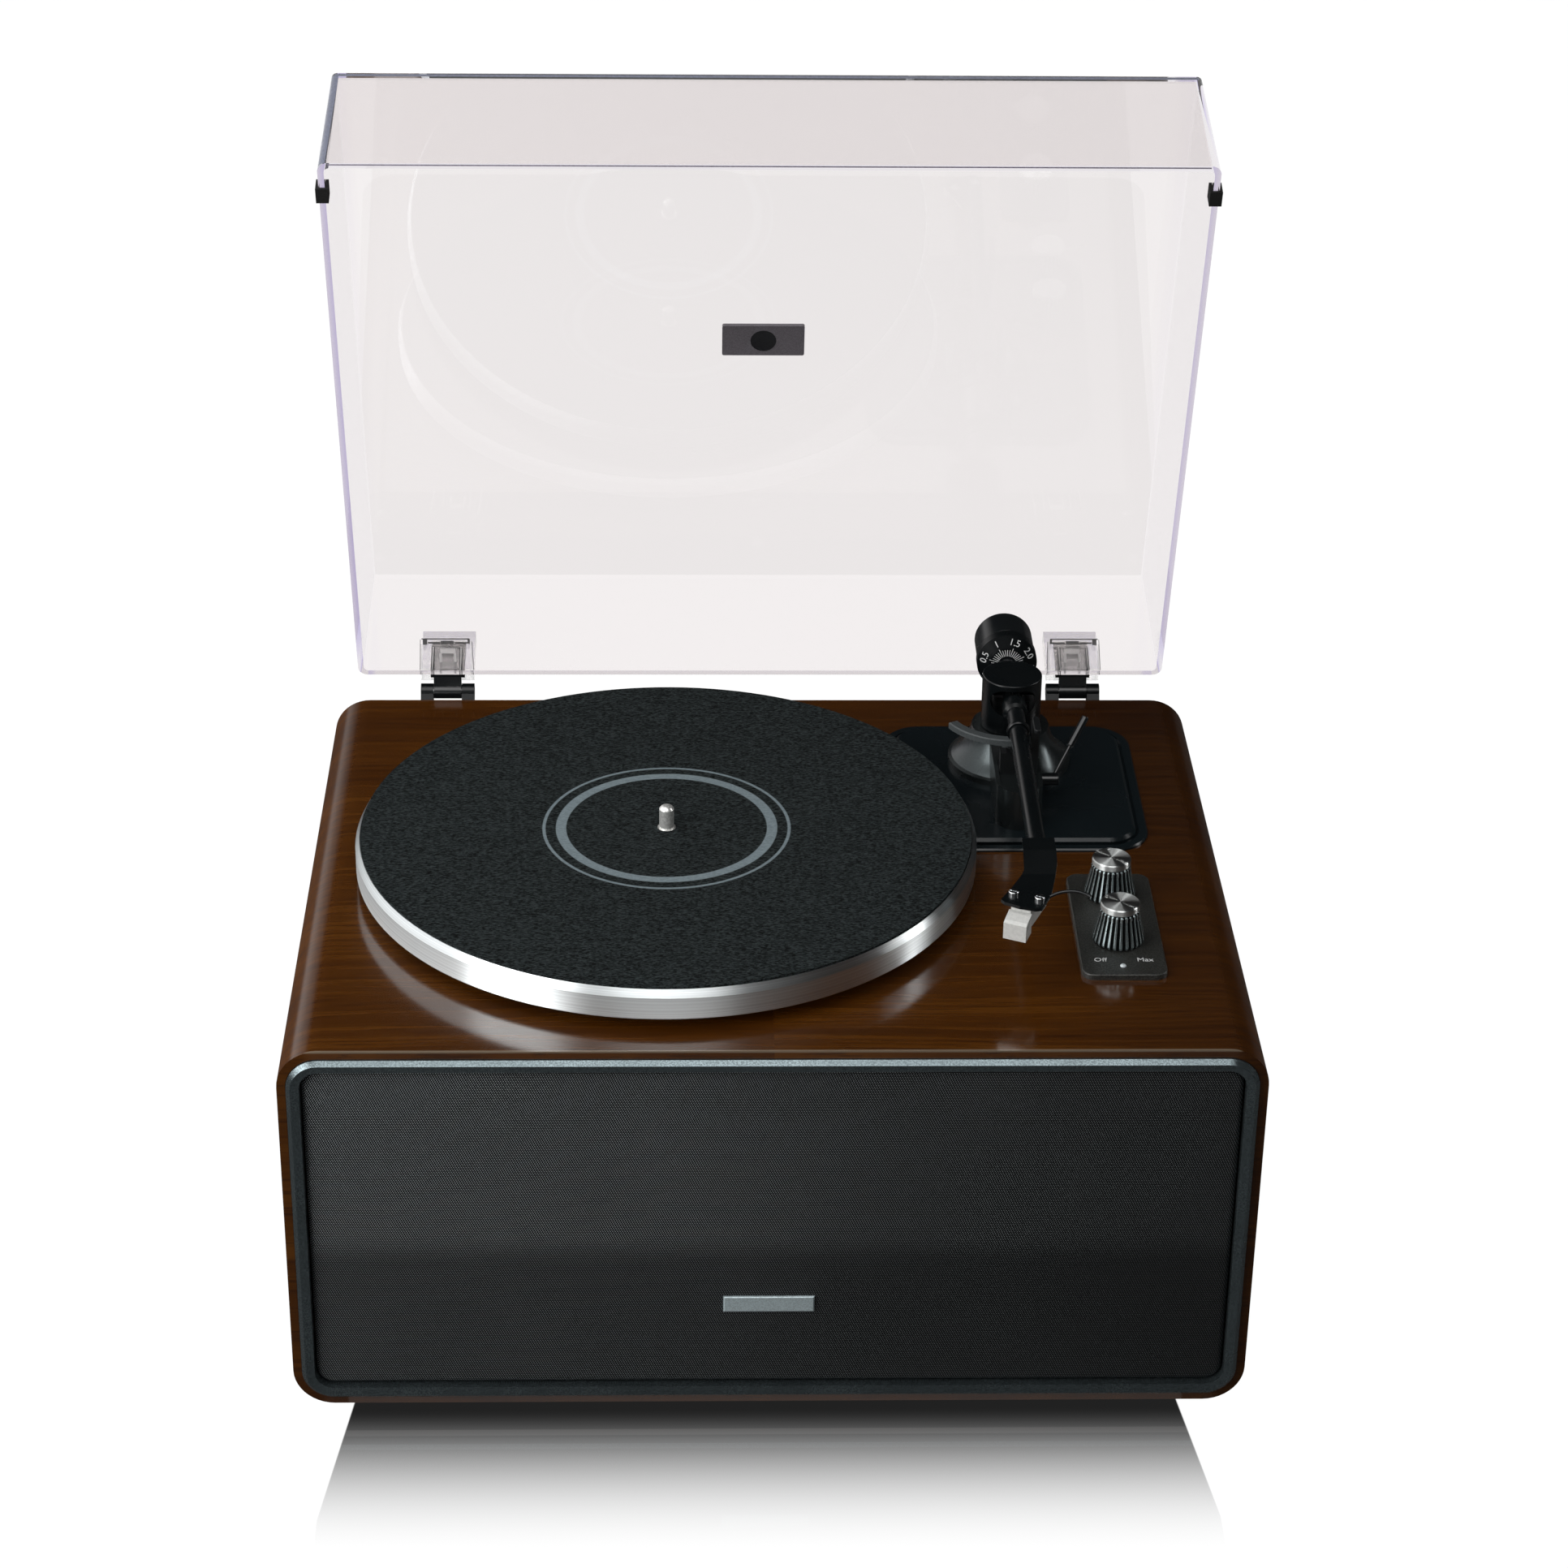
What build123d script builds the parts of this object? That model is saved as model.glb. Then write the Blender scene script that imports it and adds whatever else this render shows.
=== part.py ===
# Turntable record player in a veneered cabinet, with speakers, a straight tonearm and a hinged cover.
# Millimetres. +Z is up, +X is to the right of someone facing the grille, and -Y is the front.
# The feet stand on z = 0 and the origin is under the middle of the whole machine, cover open.
import os
from math import acos, atan2, cos, hypot, radians, sin

from build123d import *

os.makedirs("parts", exist_ok=True)

# ---------------------------------------------------------------- driving dimensions: cabinet
cabinet_width = 448.0
cabinet_depth = 342.0
cabinet_height = 196.0
cabinet_corner = 19.0
cabinet_wall = 12.0
foot_height = 8.0
foot_radius = 17.0
foot_inset_x = 40.0
foot_inset_y = 36.0
foot_screw_radius = 2.0
foot_screw_length = 11.0
screw_head_radius = 3.6
screw_head_height = 2.2

veneer_edge = 4.0          # width of the wooden edge left visible around the bezel
bezel_width = 6.0
bezel_proud = 3.0
bezel_depth = 15.0         # front to back, from its proud face to the shoulder of the rebate
bezel_round = 2.2
slip_gap = 0.2             # assembly gap round panels that drop into a rebate
grille_gap = 0.8           # dark joint between the bezel and the cloth
cloth_thickness = 3.0
cloth_recess = 4.0         # from the bezel's proud face to the cloth
cloth_round = 2.4
grille_frame_width = 9.0
grille_bar_width = 12.0
badge_length = 44.0
badge_height = 7.0
badge_thickness = 1.2
badge_above_floor = 54.0
baffle_thickness = 12.0

# ---------------------------------------------------------------- driving dimensions: speakers and back
woofer_x = 132.0
woofer_radius = 52.0
woofer_opening = 46.0
woofer_depth = 40.0
woofer_magnet_radius = 36.0
woofer_magnet_height = 15.0
speaker_flange = 3.0
speaker_sheet = 1.6
cone_sheet = 1.2
tweeter_x = 40.0
tweeter_radius = 25.0
tweeter_dome_radius = 12.5
tweeter_body_radius = 18.0
tweeter_body_depth = 16.0

rear_panel_thickness = 9.0
rear_lip = 6.0
port_radius = 22.0
port_wall = 2.5
port_length = 70.0
port_flange_radius = 30.0
port_flange_thickness = 2.5
port_from_side = 84.0      # port's middle from the cabinet's side
terminal_width = 170.0
terminal_height = 48.0
terminal_thickness = 2.5
terminal_from_side = 154.0 # terminal plate's middle from the cabinet's side
dc_offset = -62.0          # along the terminal plate, from its middle
rocker_offset = -38.0
aux_offset = -10.0
jack_offset = 20.0
terminal_below_deck = 110.0
jack_pitch = 14.0
jack_radius = 4.1
jack_collar_radius = 5.6
jack_length = 9.0
jack_bore = 1.6
aux_bore = 1.8
aux_radius = 4.0
aux_length = 14.0
dc_radius = 5.5
dc_bore = 2.85
dc_pin_radius = 1.0
dc_length = 12.0
rocker_width = 13.0
rocker_height = 21.0
rocker_thickness = 9.0
rocker_tilt = 8.0
rocker_frame_gap = 0.5
rocker_pin_radius = 0.7
rocker_pin_out = 1.6       # pins stand into the plate by this much
rear_screw_radius = 1.9
rear_screw_length = 14.0

board_width = 134.0
board_length = 84.0
board_thickness = 1.6
board_margin = 7.0
board_from_back = 62.0     # board's middle in front of the rear panel
standoff_height = 6.0
standoff_radius = 3.0
capacitor_radius = 6.0
capacitor_height = 18.0
sink_thickness = 6.0
sink_height = 24.0

# ---------------------------------------------------------------- driving dimensions: platter drive
platter_x = -49.0
platter_y = -4.4           # from the middle of the cabinet
platter_radius = 150.0
platter_gap = 6.0          # deck to the underside of the rim
platter_thickness = 15.0
platter_chamfer_drop = 3.6
platter_chamfer_in = 2.0
platter_rim_wall = 10.0
platter_web = 3.8
mat_radius = 147.5
mat_recess = 1.2
mat_thickness = 2.2
hub_radius = 14.0
drive_ring_radius = 100.0
drive_ring_wall = 3.0
drive_ring_height = 10.0
spindle_radius = 3.57      # 7.14 mm record spindle
hub_seat_radius = 4.4      # spindle inside the platter and the mat
spindle_above_mat = 12.0
spindle_tip = 2.0
shaft_radius = 4.0
shaft_below_deck = 40.0
hub_collar_radius = 9.0
hub_collar_height = 4.0
running_gap = 0.05         # radial clearance of every shaft that turns or slides
seat_gap = 0.02            # radial clearance of pieces that are pressed or glued together
bearing_radius = 9.0
bearing_flange_radius = 22.0
bearing_flange_thickness = 3.0
bearing_floor = 4.0
pulley_distance = 122.0
pulley_angle = 135.0
pulley_radius = 6.0
pulley_height = 8.0
pulley_lift = 5.0
pulley_flange = 1.2
motor_radius = 18.0
motor_height = 26.0
motor_shaft_radius = 1.0
motor_hole_radius = 9.0
belt_thickness = 0.8
belt_height = 4.0
belt_air = 0.3             # keeps the belt's solid clear of the ring and the pulley

# ---------------------------------------------------------------- driving dimensions: deck plates and knobs
arm_plate_left = 62.0
arm_plate_right = 189.0
arm_plate_front = 9.0      # y from the middle of the cabinet
arm_plate_back = 139.0
arm_plate_corner = 20.0
arm_plate_lip = 1.6
arm_plate_height = 3.8
arm_plate_border = 6.0
arm_plate_groove = 1.6
control_plate_width = 40.0
control_plate_length = 94.0
control_plate_x = 164.0
control_plate_y = -64.0
control_plate_corner = 6.0
control_plate_thickness = 3.0
control_cutout_margin = 5.0
knob_x = 163.5
volume_y = -79.0
selector_y = -37.0
knob_base_radius = 12.2
knob_neck_radius = 9.6
knob_skirt_height = 16.5
knob_skirt_gap = 0.6
flute_count = 26
flute_radius = 0.75
cap_radius = 9.3
cap_height = 3.4
cap_spigot_radius = 6.0
cap_spigot_depth = 1.5
cap_edge = 0.5
control_shaft_radius = 3.0
control_bush_radius = 4.6
control_bush_above = 4.0
control_body_size = 17.0
control_body_height = 10.0
volume_dot_angle = 149.0   # where the knob's dot points, from +X
selector_dot_angle = 97.0
dot_radius = 0.7
dot_depth = 0.3
lens_y = -103.0
lens_radius = 1.5
lens_proud = 0.8

# ---------------------------------------------------------------- driving dimensions: tonearm
pivot_x = 125.0
pivot_y = 98.0             # from the middle of the cabinet
arm_height = 43.0          # arm axis above the deck
base_radius = 31.0
base_ring_height = 3.0
base_neck_radius = 19.5
base_neck_height = 24.5    # above the deck
base_stem_radius = 9.0
base_stem_below = 16.0
turret_radius = 15.0
turret_lift = 0.6          # gap under the turret
turret_head = 10.0         # turret above the arm axis
turret_slot_width = 23.0
turret_slot_height = 14.0
turret_post_radius = 5.0
turret_post_length = 20.0
tower_width = 23.0
tower_reach = 74.0         # from the pivot to the tower's front
tower_height = 25.0        # above the deck
rest_distance = 50.0       # from the pivot to the arm rest
rest_length = 6.0
rest_wall = 3.0
rest_clearance = 2.5       # under the tube, for the arm's lowest tilt
rest_side_gap = 1.6
lock_clearance = 4.2       # lock's post above the tube, for the arm's highest tilt
lock_thickness = 1.8
lock_length = 15.0
lock_width = 3.4
lock_pin_radius = 1.0
lock_lift = 0.4
platform_radius = 34.0
platform_width = 5.0
platform_thickness = 3.4
platform_drop = 4.5        # below the tube, lowered
platform_start = 207.0     # degrees from +X about the pivot
platform_end = 267.0
platform_post_angle = 262.0
platform_post_radius = 2.2
platform_travel = 2.4
platform_post_bite = 12.0  # post left in its bore when raised
cue_forward = 36.0         # cue shaft in front of the pivot
cue_height = 12.0          # cue shaft above the deck
cue_shaft_radius = 3.2
cue_shaft_out = 10.5
cue_shaft_in = 6.0
cue_rod_radius = 0.9
cue_rod_length = 19.5
cue_grip_radius = 1.9
cue_grip_length = 17.0
cue_right = 17.6           # direction of the lever: right, back and up
cue_back = 21.0
cue_up = 24.0

tube_radius = 4.5
tube_wall = 0.8
tube_start = 23.0          # in front of the pivot
tube_collar_radius = 5.7
tube_collar_width = 3.0
tube_collar_at = 42.0
arm_hub_radius = 4.8
arm_hub_nose_radius = 6.2
arm_hub_nose_start = 16.5
axle_radius = 2.0
axle_side = 13.5
stub_radius = 4.0
stub_end = 56.0
weight_radius = 14.8
weight_length = 22.0
dial_radius = 15.4
dial_length = 8.5
dial_start = 29.5          # behind the pivot
dial_face_radius = 9.0
dial_face_depth = 2.6
part_gap = 0.3             # air between pieces that turn past each other

shell_sheet = 1.6
shell_rear_width = 15.0
shell_tube_cover = 8.0     # how far the shell lies over the tube
shell_slope_start = 3.0    # in front of the tube's end
shell_slope_end = 16.0
offset_angle = 24.0
cartridge_screw_pitch = 12.7
cartridge_screw_radius = 1.25
cartridge_screw_head = 2.3
effective_length = 216.0   # pivot to stylus
head_length = 46.0         # tube's end to the stylus
stylus_side = -12.6        # stylus from the arm's axis, to the left
cartridge_flange = 17.0
cartridge_body_width = 11.0
cartridge_body_length = 15.0
cartridge_body_height = 9.4
cartridge_top_height = 3.0
stylus_drop = 16.4         # stylus tip below the arm's axis
finger_radius = 0.8
finger_reach = 19.0

# ---------------------------------------------------------------- driving dimensions: cover and hinges
lid_width = 423.0
lid_length = 328.0
lid_depth = 76.0
lid_wall = 3.0
lid_corner = 5.0
lid_draft = 1.5
lid_edge_round = 1.0
lid_open_angle = 73.5
lid_lift = 2.0             # rim above the hinge axis when shut
hinge_behind = 8.5         # hinge axis behind the cabinet
hinge_above = 1.0          # hinge axis above the deck
hinge_to_lid = 10.0        # hinge axis to the cover's rear wall
hinge_x = 165.0
hinge_width = 28.0
knuckle_radius = 4.0
knuckle_length = 6.5
hinge_pin_radius = 1.5
bracket_thickness = 3.0
bracket_length = 42.0
bracket_top = 7.0          # below the hinge axis
tongue_width = 18.0
tongue_thickness = 2.2
tongue_length = 27.0
socket_bottom = 5.0
socket_length = 28.0
socket_outer = 3.0         # socket's outer face in front of the hinge axis
socket_slot_gap = 0.25
bumper_length = 8.0
bumper_wall = 1.5
bumper_height = 8.0
bumper_from_front = 18.0
lid_badge_width = 42.0
lid_badge_height = 19.0
lid_badge_thickness = 2.0
lid_badge_pin = 2.2

# ---------------------------------------------------------------- places worked out from the dimensions
deck_z = foot_height + cabinet_height
middle_z = foot_height + cabinet_height / 2
opening = radians(lid_open_angle)
hinge_back = cabinet_depth / 2 + hinge_behind
# The open cover's rear corner is the point furthest back, and the bezel is the point furthest forward.
lid_back = hinge_back - hinge_to_lid * cos(opening) + (lid_lift + lid_depth) * sin(opening)
lid_back -= lid_depth * (sin(radians(lid_draft)) * cos(opening))
lid_back -= lid_edge_round * (sin(opening) + cos(opening) - 1)
cabinet_y = (cabinet_depth / 2 + bezel_proud - lid_back) / 2
front_y = cabinet_y - cabinet_depth / 2
back_y = cabinet_y + cabinet_depth / 2
hinge_y = cabinet_y + hinge_back
hinge_z = deck_z + hinge_above

spindle_y = cabinet_y + platter_y
mat_top = platter_gap + platter_thickness - mat_recess + mat_thickness
bezel_inset = veneer_edge + slip_gap
cloth_inset = bezel_inset + bezel_width + grille_gap
rebate_depth = bezel_depth - bezel_proud
cloth_front = front_y - bezel_proud + cloth_recess
cloth_back = cloth_front + cloth_thickness
baffle_y = front_y + rebate_depth
inner_inset = cabinet_wall + slip_gap
rear_panel_y = back_y - rear_panel_thickness
arm_y = cabinet_y + pivot_y
arm_z = deck_z + arm_height
pulley_x = platter_x + pulley_distance * cos(radians(pulley_angle))
pulley_y = spindle_y + pulley_distance * sin(radians(pulley_angle))
control_top = control_plate_thickness
port_x = port_from_side - cabinet_width / 2
terminal_x = cabinet_width / 2 - terminal_from_side
tube_end = effective_length - head_length


def deck(height=0.0):
    """Level plane at a height above the deck."""
    return Plane.XY.offset(deck_z + height)


def upright(y):
    """Upright plane facing the front, at a depth y: its x is +X and its y is +Z."""
    return Plane.XZ.offset(-y)


def turned(x, y, z=0.0):
    """Upright plane through an axis at x, y for a profile to revolve: x is the radius, y the height."""
    return Plane(origin=(x, y, z), x_dir=(1, 0, 0), z_dir=(0, -1, 0))


def along_y(x, y, z, forward=False):
    """Plane for a profile to revolve about an axis along Y: x is the length, y is the radius."""
    return Plane(origin=(x, y, z), x_dir=(0, -1 if forward else 1, 0), z_dir=(1 if forward else -1, 0, 0))


def sideways(x, y, z):
    """Upright plane facing +X through a point: its x is +Y and its y is +Z."""
    return Plane(origin=(x, y, z), x_dir=(0, 1, 0), z_dir=(1, 0, 0))


def spot(x, y, z):
    """Axis straight up through a point."""
    return Axis((x, y, z), (0, 0, 1))


def front_outline(inset):
    """Rounded outline of the cabinet's front, taken in by a distance."""
    corner = max(cabinet_corner - inset, 2.0)
    RectangleRounded(cabinet_width - 2 * inset, cabinet_height - 2 * inset, corner)


def middle(y):
    """Upright plane at depth y, centred on the cabinet's front."""
    return Plane(origin=(0, y, middle_z), x_dir=(1, 0, 0), z_dir=(0, -1, 0))


# ================================================================ cabinet
control_cut_width = control_plate_width - 2 * control_cutout_margin
control_cut_length = control_plate_length - 2 * control_cutout_margin
terminal_z = deck_z - terminal_below_deck
terminal_cut = 4.0         # the terminal plate laps the panel by this much

with BuildPart() as cabinet_shell:
    with BuildSketch(middle(front_y)):
        front_outline(0)
        with BuildSketch(mode=Mode.PRIVATE) as shell_bore:
            front_outline(cabinet_wall)
        add(shell_bore.sketch, mode=Mode.SUBTRACT)
    extrude(amount=-cabinet_depth)
    with BuildSketch(middle(front_y)):
        front_outline(veneer_edge)
    extrude(amount=-rebate_depth, mode=Mode.SUBTRACT)
    with BuildSketch(middle(back_y)):
        front_outline(rear_lip)
    extrude(amount=rear_panel_thickness, mode=Mode.SUBTRACT)
    with BuildSketch(deck()):
        with Locations((platter_x, spindle_y)):
            Circle(bearing_radius + slip_gap)
        with Locations((pulley_x, pulley_y)):
            Circle(motor_hole_radius)
        with Locations((pivot_x, arm_y)):
            Circle(base_stem_radius + slip_gap)
        with Locations((control_plate_x, cabinet_y + control_plate_y)):
            RectangleRounded(control_cut_width, control_cut_length, control_plate_corner / 2)
    extrude(amount=-cabinet_wall, mode=Mode.SUBTRACT)
    foot_places = [
        (sx * (cabinet_width / 2 - foot_inset_x), cabinet_y + sy * (cabinet_depth / 2 - foot_inset_y))
        for sx in (-1, 1) for sy in (-1, 1)
    ]
    with BuildSketch(Plane.XY.offset(foot_height)):
        with Locations(*foot_places):
            Circle(foot_screw_radius + seat_gap)
    extrude(amount=foot_screw_length - foot_height + screw_head_height, mode=Mode.SUBTRACT)
cabinet_shell.part.label = "cabinet_shell"
export_step(cabinet_shell.part, "parts/cabinet_shell.step")

with BuildPart() as cabinet_feet:
    with BuildSketch(Plane.XY):
        with Locations(*foot_places):
            Circle(foot_radius)
    extrude(amount=foot_height)
    chamfer(cabinet_feet.edges().group_by(Axis.Z)[0], length=1.2)
    for place in foot_places:
        with Locations((*place, 0)):
            Hole(foot_screw_radius + seat_gap)
    with BuildSketch(Plane.XY):
        with Locations(*foot_places):
            Circle(screw_head_radius + slip_gap)
    extrude(amount=2 * screw_head_height, mode=Mode.SUBTRACT)
cabinet_feet.part.label = "cabinet_feet"
export_step(cabinet_feet.part, "parts/cabinet_feet.step")

with BuildPart() as front_bezel:
    with BuildSketch(middle(front_y - bezel_proud)):
        front_outline(bezel_inset)
        with BuildSketch(mode=Mode.PRIVATE) as bezel_bore:
            front_outline(bezel_inset + bezel_width)
        add(bezel_bore.sketch, mode=Mode.SUBTRACT)
    extrude(amount=-bezel_depth)
    fillet(front_bezel.edges().group_by(Axis.Y)[0], radius=bezel_round)
front_bezel.part.label = "front_bezel"
export_step(front_bezel.part, "parts/front_bezel.step")

# ---------------------------------------------------------------- grille and baffle
with BuildPart() as grille_cloth:
    with BuildSketch(middle(cloth_front)):
        front_outline(cloth_inset)
    extrude(amount=-cloth_thickness)
    fillet(grille_cloth.edges().group_by(Axis.Y)[0], radius=cloth_round)
grille_cloth.part.label = "grille_cloth"
export_step(grille_cloth.part, "parts/grille_cloth.step")

grille_bar_x = (woofer_x - woofer_radius + tweeter_x + tweeter_radius) / 2
with BuildPart() as grille_frame:
    with BuildSketch(middle(cloth_back)):
        front_outline(cloth_inset)
        with BuildSketch(mode=Mode.PRIVATE) as frame_window:
            front_outline(cloth_inset + grille_frame_width)
        add(frame_window.sketch, mode=Mode.SUBTRACT)
        with Locations((-grille_bar_x, 0), (grille_bar_x, 0)):
            Rectangle(grille_bar_width, cabinet_height - 2 * cloth_inset - grille_frame_width)
    extrude(amount=-(baffle_y - cloth_back))
grille_frame.part.label = "grille_frame"
export_step(grille_frame.part, "parts/grille_frame.step")

with BuildPart() as grille_badge:
    with BuildSketch(Plane(origin=(0, cloth_front, badge_above_floor), x_dir=(1, 0, 0), z_dir=(0, -1, 0))):
        RectangleRounded(badge_length, badge_height, 1.5)
    extrude(amount=badge_thickness)
    chamfer(grille_badge.edges().group_by(Axis.Y)[0], length=0.3)
grille_badge.part.label = "grille_badge"
export_step(grille_badge.part, "parts/grille_badge.step")

speaker_holes = [(-woofer_x, 0, woofer_opening), (woofer_x, 0, woofer_opening),
                 (-tweeter_x, 0, tweeter_body_radius + slip_gap),
                 (tweeter_x, 0, tweeter_body_radius + slip_gap)]

with BuildPart() as baffle_board:
    with BuildSketch(middle(baffle_y)):
        front_outline(inner_inset)
        for hole_x, hole_z, hole_radius in speaker_holes:
            with Locations((hole_x, hole_z)):
                Circle(hole_radius, mode=Mode.SUBTRACT)
    extrude(amount=-baffle_thickness)
baffle_board.part.label = "baffle_board"
export_step(baffle_board.part, "parts/baffle_board.step")


def speaker_profile(x):
    """Plane of a speaker's turned profile: x runs back from the baffle's face, y is the radius."""
    return along_y(x, baffle_y, middle_z)


def back_axis(x):
    """Axis of a speaker."""
    return Axis((x, baffle_y, middle_z), (0, 1, 0))


basket_neck = woofer_magnet_radius * 0.6
with BuildPart() as woofer_baskets:
    for side in (-1, 1):
        with BuildSketch(speaker_profile(side * woofer_x)):
            with BuildLine():
                Polyline(
                    (-speaker_flange, woofer_opening - 4), (-speaker_flange, woofer_radius),
                    (0, woofer_radius),
                    (0, woofer_opening - seat_gap), (baffle_thickness, woofer_opening - seat_gap),
                    (woofer_depth, woofer_magnet_radius), (woofer_depth, basket_neck),
                    (woofer_depth - speaker_sheet, basket_neck),
                    (woofer_depth - speaker_sheet, woofer_magnet_radius - speaker_sheet),
                    (baffle_thickness, woofer_opening - speaker_sheet - seat_gap),
                    (speaker_sheet, woofer_opening - 4), (-speaker_flange, woofer_opening - 4),
                )
            make_face()
        revolve(axis=back_axis(side * woofer_x))
woofer_baskets.part.label = "woofer_baskets"
export_step(woofer_baskets.part, "parts/woofer_baskets.step")

surround_radius = woofer_opening - 4 - slip_gap
cone_neck = 14.0
cone_depth = 22.0
with BuildPart() as woofer_cones:
    for side in (-1, 1):
        with BuildSketch(speaker_profile(side * woofer_x)):
            with BuildLine():
                Polyline(
                    (0, surround_radius), (-cone_sheet, surround_radius - 1), (-2.4, surround_radius - 4),
                    (-cone_sheet, surround_radius - 7), (0, surround_radius - 8), (cone_depth, cone_neck),
                    (cone_depth - 5, cone_neck / 2), (cone_depth - 7, 0), (cone_depth - 7 + cone_sheet, 0),
                    (cone_depth - 5 + cone_sheet, cone_neck / 2 - cone_sheet),
                    (cone_depth + 3, cone_neck - cone_sheet), (cone_depth + 3, cone_neck),
                    (cone_sheet, surround_radius - 7), (0, surround_radius - 6.4),
                    (-1.2, surround_radius - 4), (0, surround_radius - 1.6), (0, surround_radius),
                )
            make_face()
        revolve(axis=back_axis(side * woofer_x))
woofer_cones.part.label = "woofer_cones"
export_step(woofer_cones.part, "parts/woofer_cones.step")

with BuildPart() as woofer_magnets:
    for side in (-1, 1):
        with BuildSketch(Plane(origin=(side * woofer_x, baffle_y + woofer_depth, middle_z),
                               x_dir=(1, 0, 0), z_dir=(0, 1, 0))):
            Circle(woofer_magnet_radius)
        extrude(amount=woofer_magnet_height)
    chamfer(woofer_magnets.edges().group_by(Axis.Y)[-1], length=1.5)
woofer_magnets.part.label = "woofer_magnets"
export_step(woofer_magnets.part, "parts/woofer_magnets.step")

with BuildPart() as tweeters:
    for side in (-1, 1):
        with BuildSketch(speaker_profile(side * tweeter_x)):
            with BuildLine():
                Polyline(
                    (tweeter_body_depth, 0), (tweeter_body_depth, tweeter_body_radius),
                    (0, tweeter_body_radius), (0, tweeter_radius), (-speaker_flange, tweeter_radius),
                    (-speaker_flange, tweeter_dome_radius + 4), (-0.5, tweeter_dome_radius),
                )
                ThreePointArc((-0.5, tweeter_dome_radius), (-3.4, tweeter_dome_radius * 0.65), (-4.6, 1))
                Polyline((-4.6, 1), (-4.6, 0), (tweeter_body_depth, 0))
            make_face()
        revolve(axis=back_axis(side * tweeter_x))
tweeters.part.label = "tweeters"
export_step(tweeters.part, "parts/tweeters.step")

# ---------------------------------------------------------------- back of the cabinet
rear_screw_places = [(sx * (cabinet_width / 2 - rear_lip - 9), sz * (cabinet_height / 2 - rear_lip - 16))
                     for sx in (-1, 1) for sz in (-1, 1)]
rear_screw_places += [(0, sz * (cabinet_height / 2 - rear_lip - 3)) for sz in (-1, 1)]
plate_screw_inset = 5.0
plate_screw_places = [(terminal_x + sx * (terminal_width / 2 - plate_screw_inset),
                       terminal_z - middle_z + sz * (terminal_height / 2 - plate_screw_inset))
                      for sx in (-1, 1) for sz in (-1, 1)]
port_z = 0.0

with BuildPart() as rear_panel:
    with BuildSketch(middle(back_y)):
        front_outline(rear_lip + slip_gap)
        with Locations((port_x, port_z)):
            Circle(port_radius + port_wall + slip_gap, mode=Mode.SUBTRACT)
        with Locations((terminal_x, terminal_z - middle_z)):
            Rectangle(terminal_width - 2 * (plate_screw_inset + terminal_cut),
                      terminal_height - 2 * terminal_cut, mode=Mode.SUBTRACT)
        with Locations(*rear_screw_places, *plate_screw_places):
            Circle(rear_screw_radius + seat_gap, mode=Mode.SUBTRACT)
    extrude(amount=rear_panel_thickness)
rear_panel.part.label = "rear_panel"
export_step(rear_panel.part, "parts/rear_panel.step")

port_plane = Plane(origin=(port_x, back_y, middle_z + port_z), x_dir=(1, 0, 0), z_dir=(0, 1, 0))
with BuildPart() as bass_port:
    with BuildSketch(port_plane):
        Circle(port_flange_radius)
        Circle(port_radius, mode=Mode.SUBTRACT)
    extrude(amount=port_flange_thickness)
    with BuildSketch(port_plane):
        Circle(port_radius + port_wall)
        Circle(port_radius, mode=Mode.SUBTRACT)
    extrude(amount=-port_length)
    mouth = bass_port.edges().filter_by(GeomType.CIRCLE).group_by(Axis.Y)[-1].sort_by(SortBy.RADIUS)[0]
    fillet(mouth, radius=2.0)
bass_port.part.label = "bass_port"
export_step(bass_port.part, "parts/bass_port.step")

rca_places = [(terminal_x + dx, terminal_z + dz)
              for dx in (jack_offset, jack_offset + jack_pitch) for dz in (-jack_pitch / 2, jack_pitch / 2)]
aux_place = (terminal_x + aux_offset, terminal_z)
dc_place = (terminal_x + dc_offset, terminal_z)
rocker_place = (terminal_x + rocker_offset, terminal_z)
rocker_pivot = (rocker_place[0], back_y + terminal_thickness / 2, rocker_place[1])
rocker_pin_end = rocker_width / 2 + rocker_frame_gap + rocker_pin_out


def rear_face(x, z, y=back_y):
    """Upright plane facing back at a point of the rear panel."""
    return Plane(origin=(x, y, z), x_dir=(1, 0, 0), z_dir=(0, 1, 0))


with BuildPart() as terminal_plate:
    with BuildSketch(rear_face(terminal_x, terminal_z)):
        RectangleRounded(terminal_width, terminal_height, 4)
    extrude(amount=terminal_thickness)
    chamfer(terminal_plate.edges().group_by(Axis.Y)[-1], length=0.5)
    plate_holes = [(place, jack_radius) for place in rca_places]
    plate_holes += [(aux_place, aux_radius), (dc_place, dc_radius)]
    for place, hole_radius in plate_holes:
        with BuildSketch(rear_face(*place)):
            Circle(hole_radius + seat_gap)
        extrude(amount=terminal_thickness, mode=Mode.SUBTRACT)
    with BuildSketch(rear_face(*rocker_place)):
        Rectangle(rocker_width + 2 * rocker_frame_gap, rocker_height + 2 * rocker_frame_gap)
    extrude(amount=terminal_thickness, mode=Mode.SUBTRACT)
    with BuildSketch(sideways(*rocker_pivot)):
        Circle(rocker_pin_radius + running_gap)
    extrude(amount=rocker_pin_end + part_gap, both=True, mode=Mode.SUBTRACT)
    for plate_x, plate_z in plate_screw_places:
        with BuildSketch(rear_face(plate_x, plate_z + middle_z)):
            Circle(rear_screw_radius + seat_gap)
        extrude(amount=terminal_thickness, mode=Mode.SUBTRACT)
terminal_plate.part.label = "terminal_plate"
export_step(terminal_plate.part, "parts/terminal_plate.step")

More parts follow.
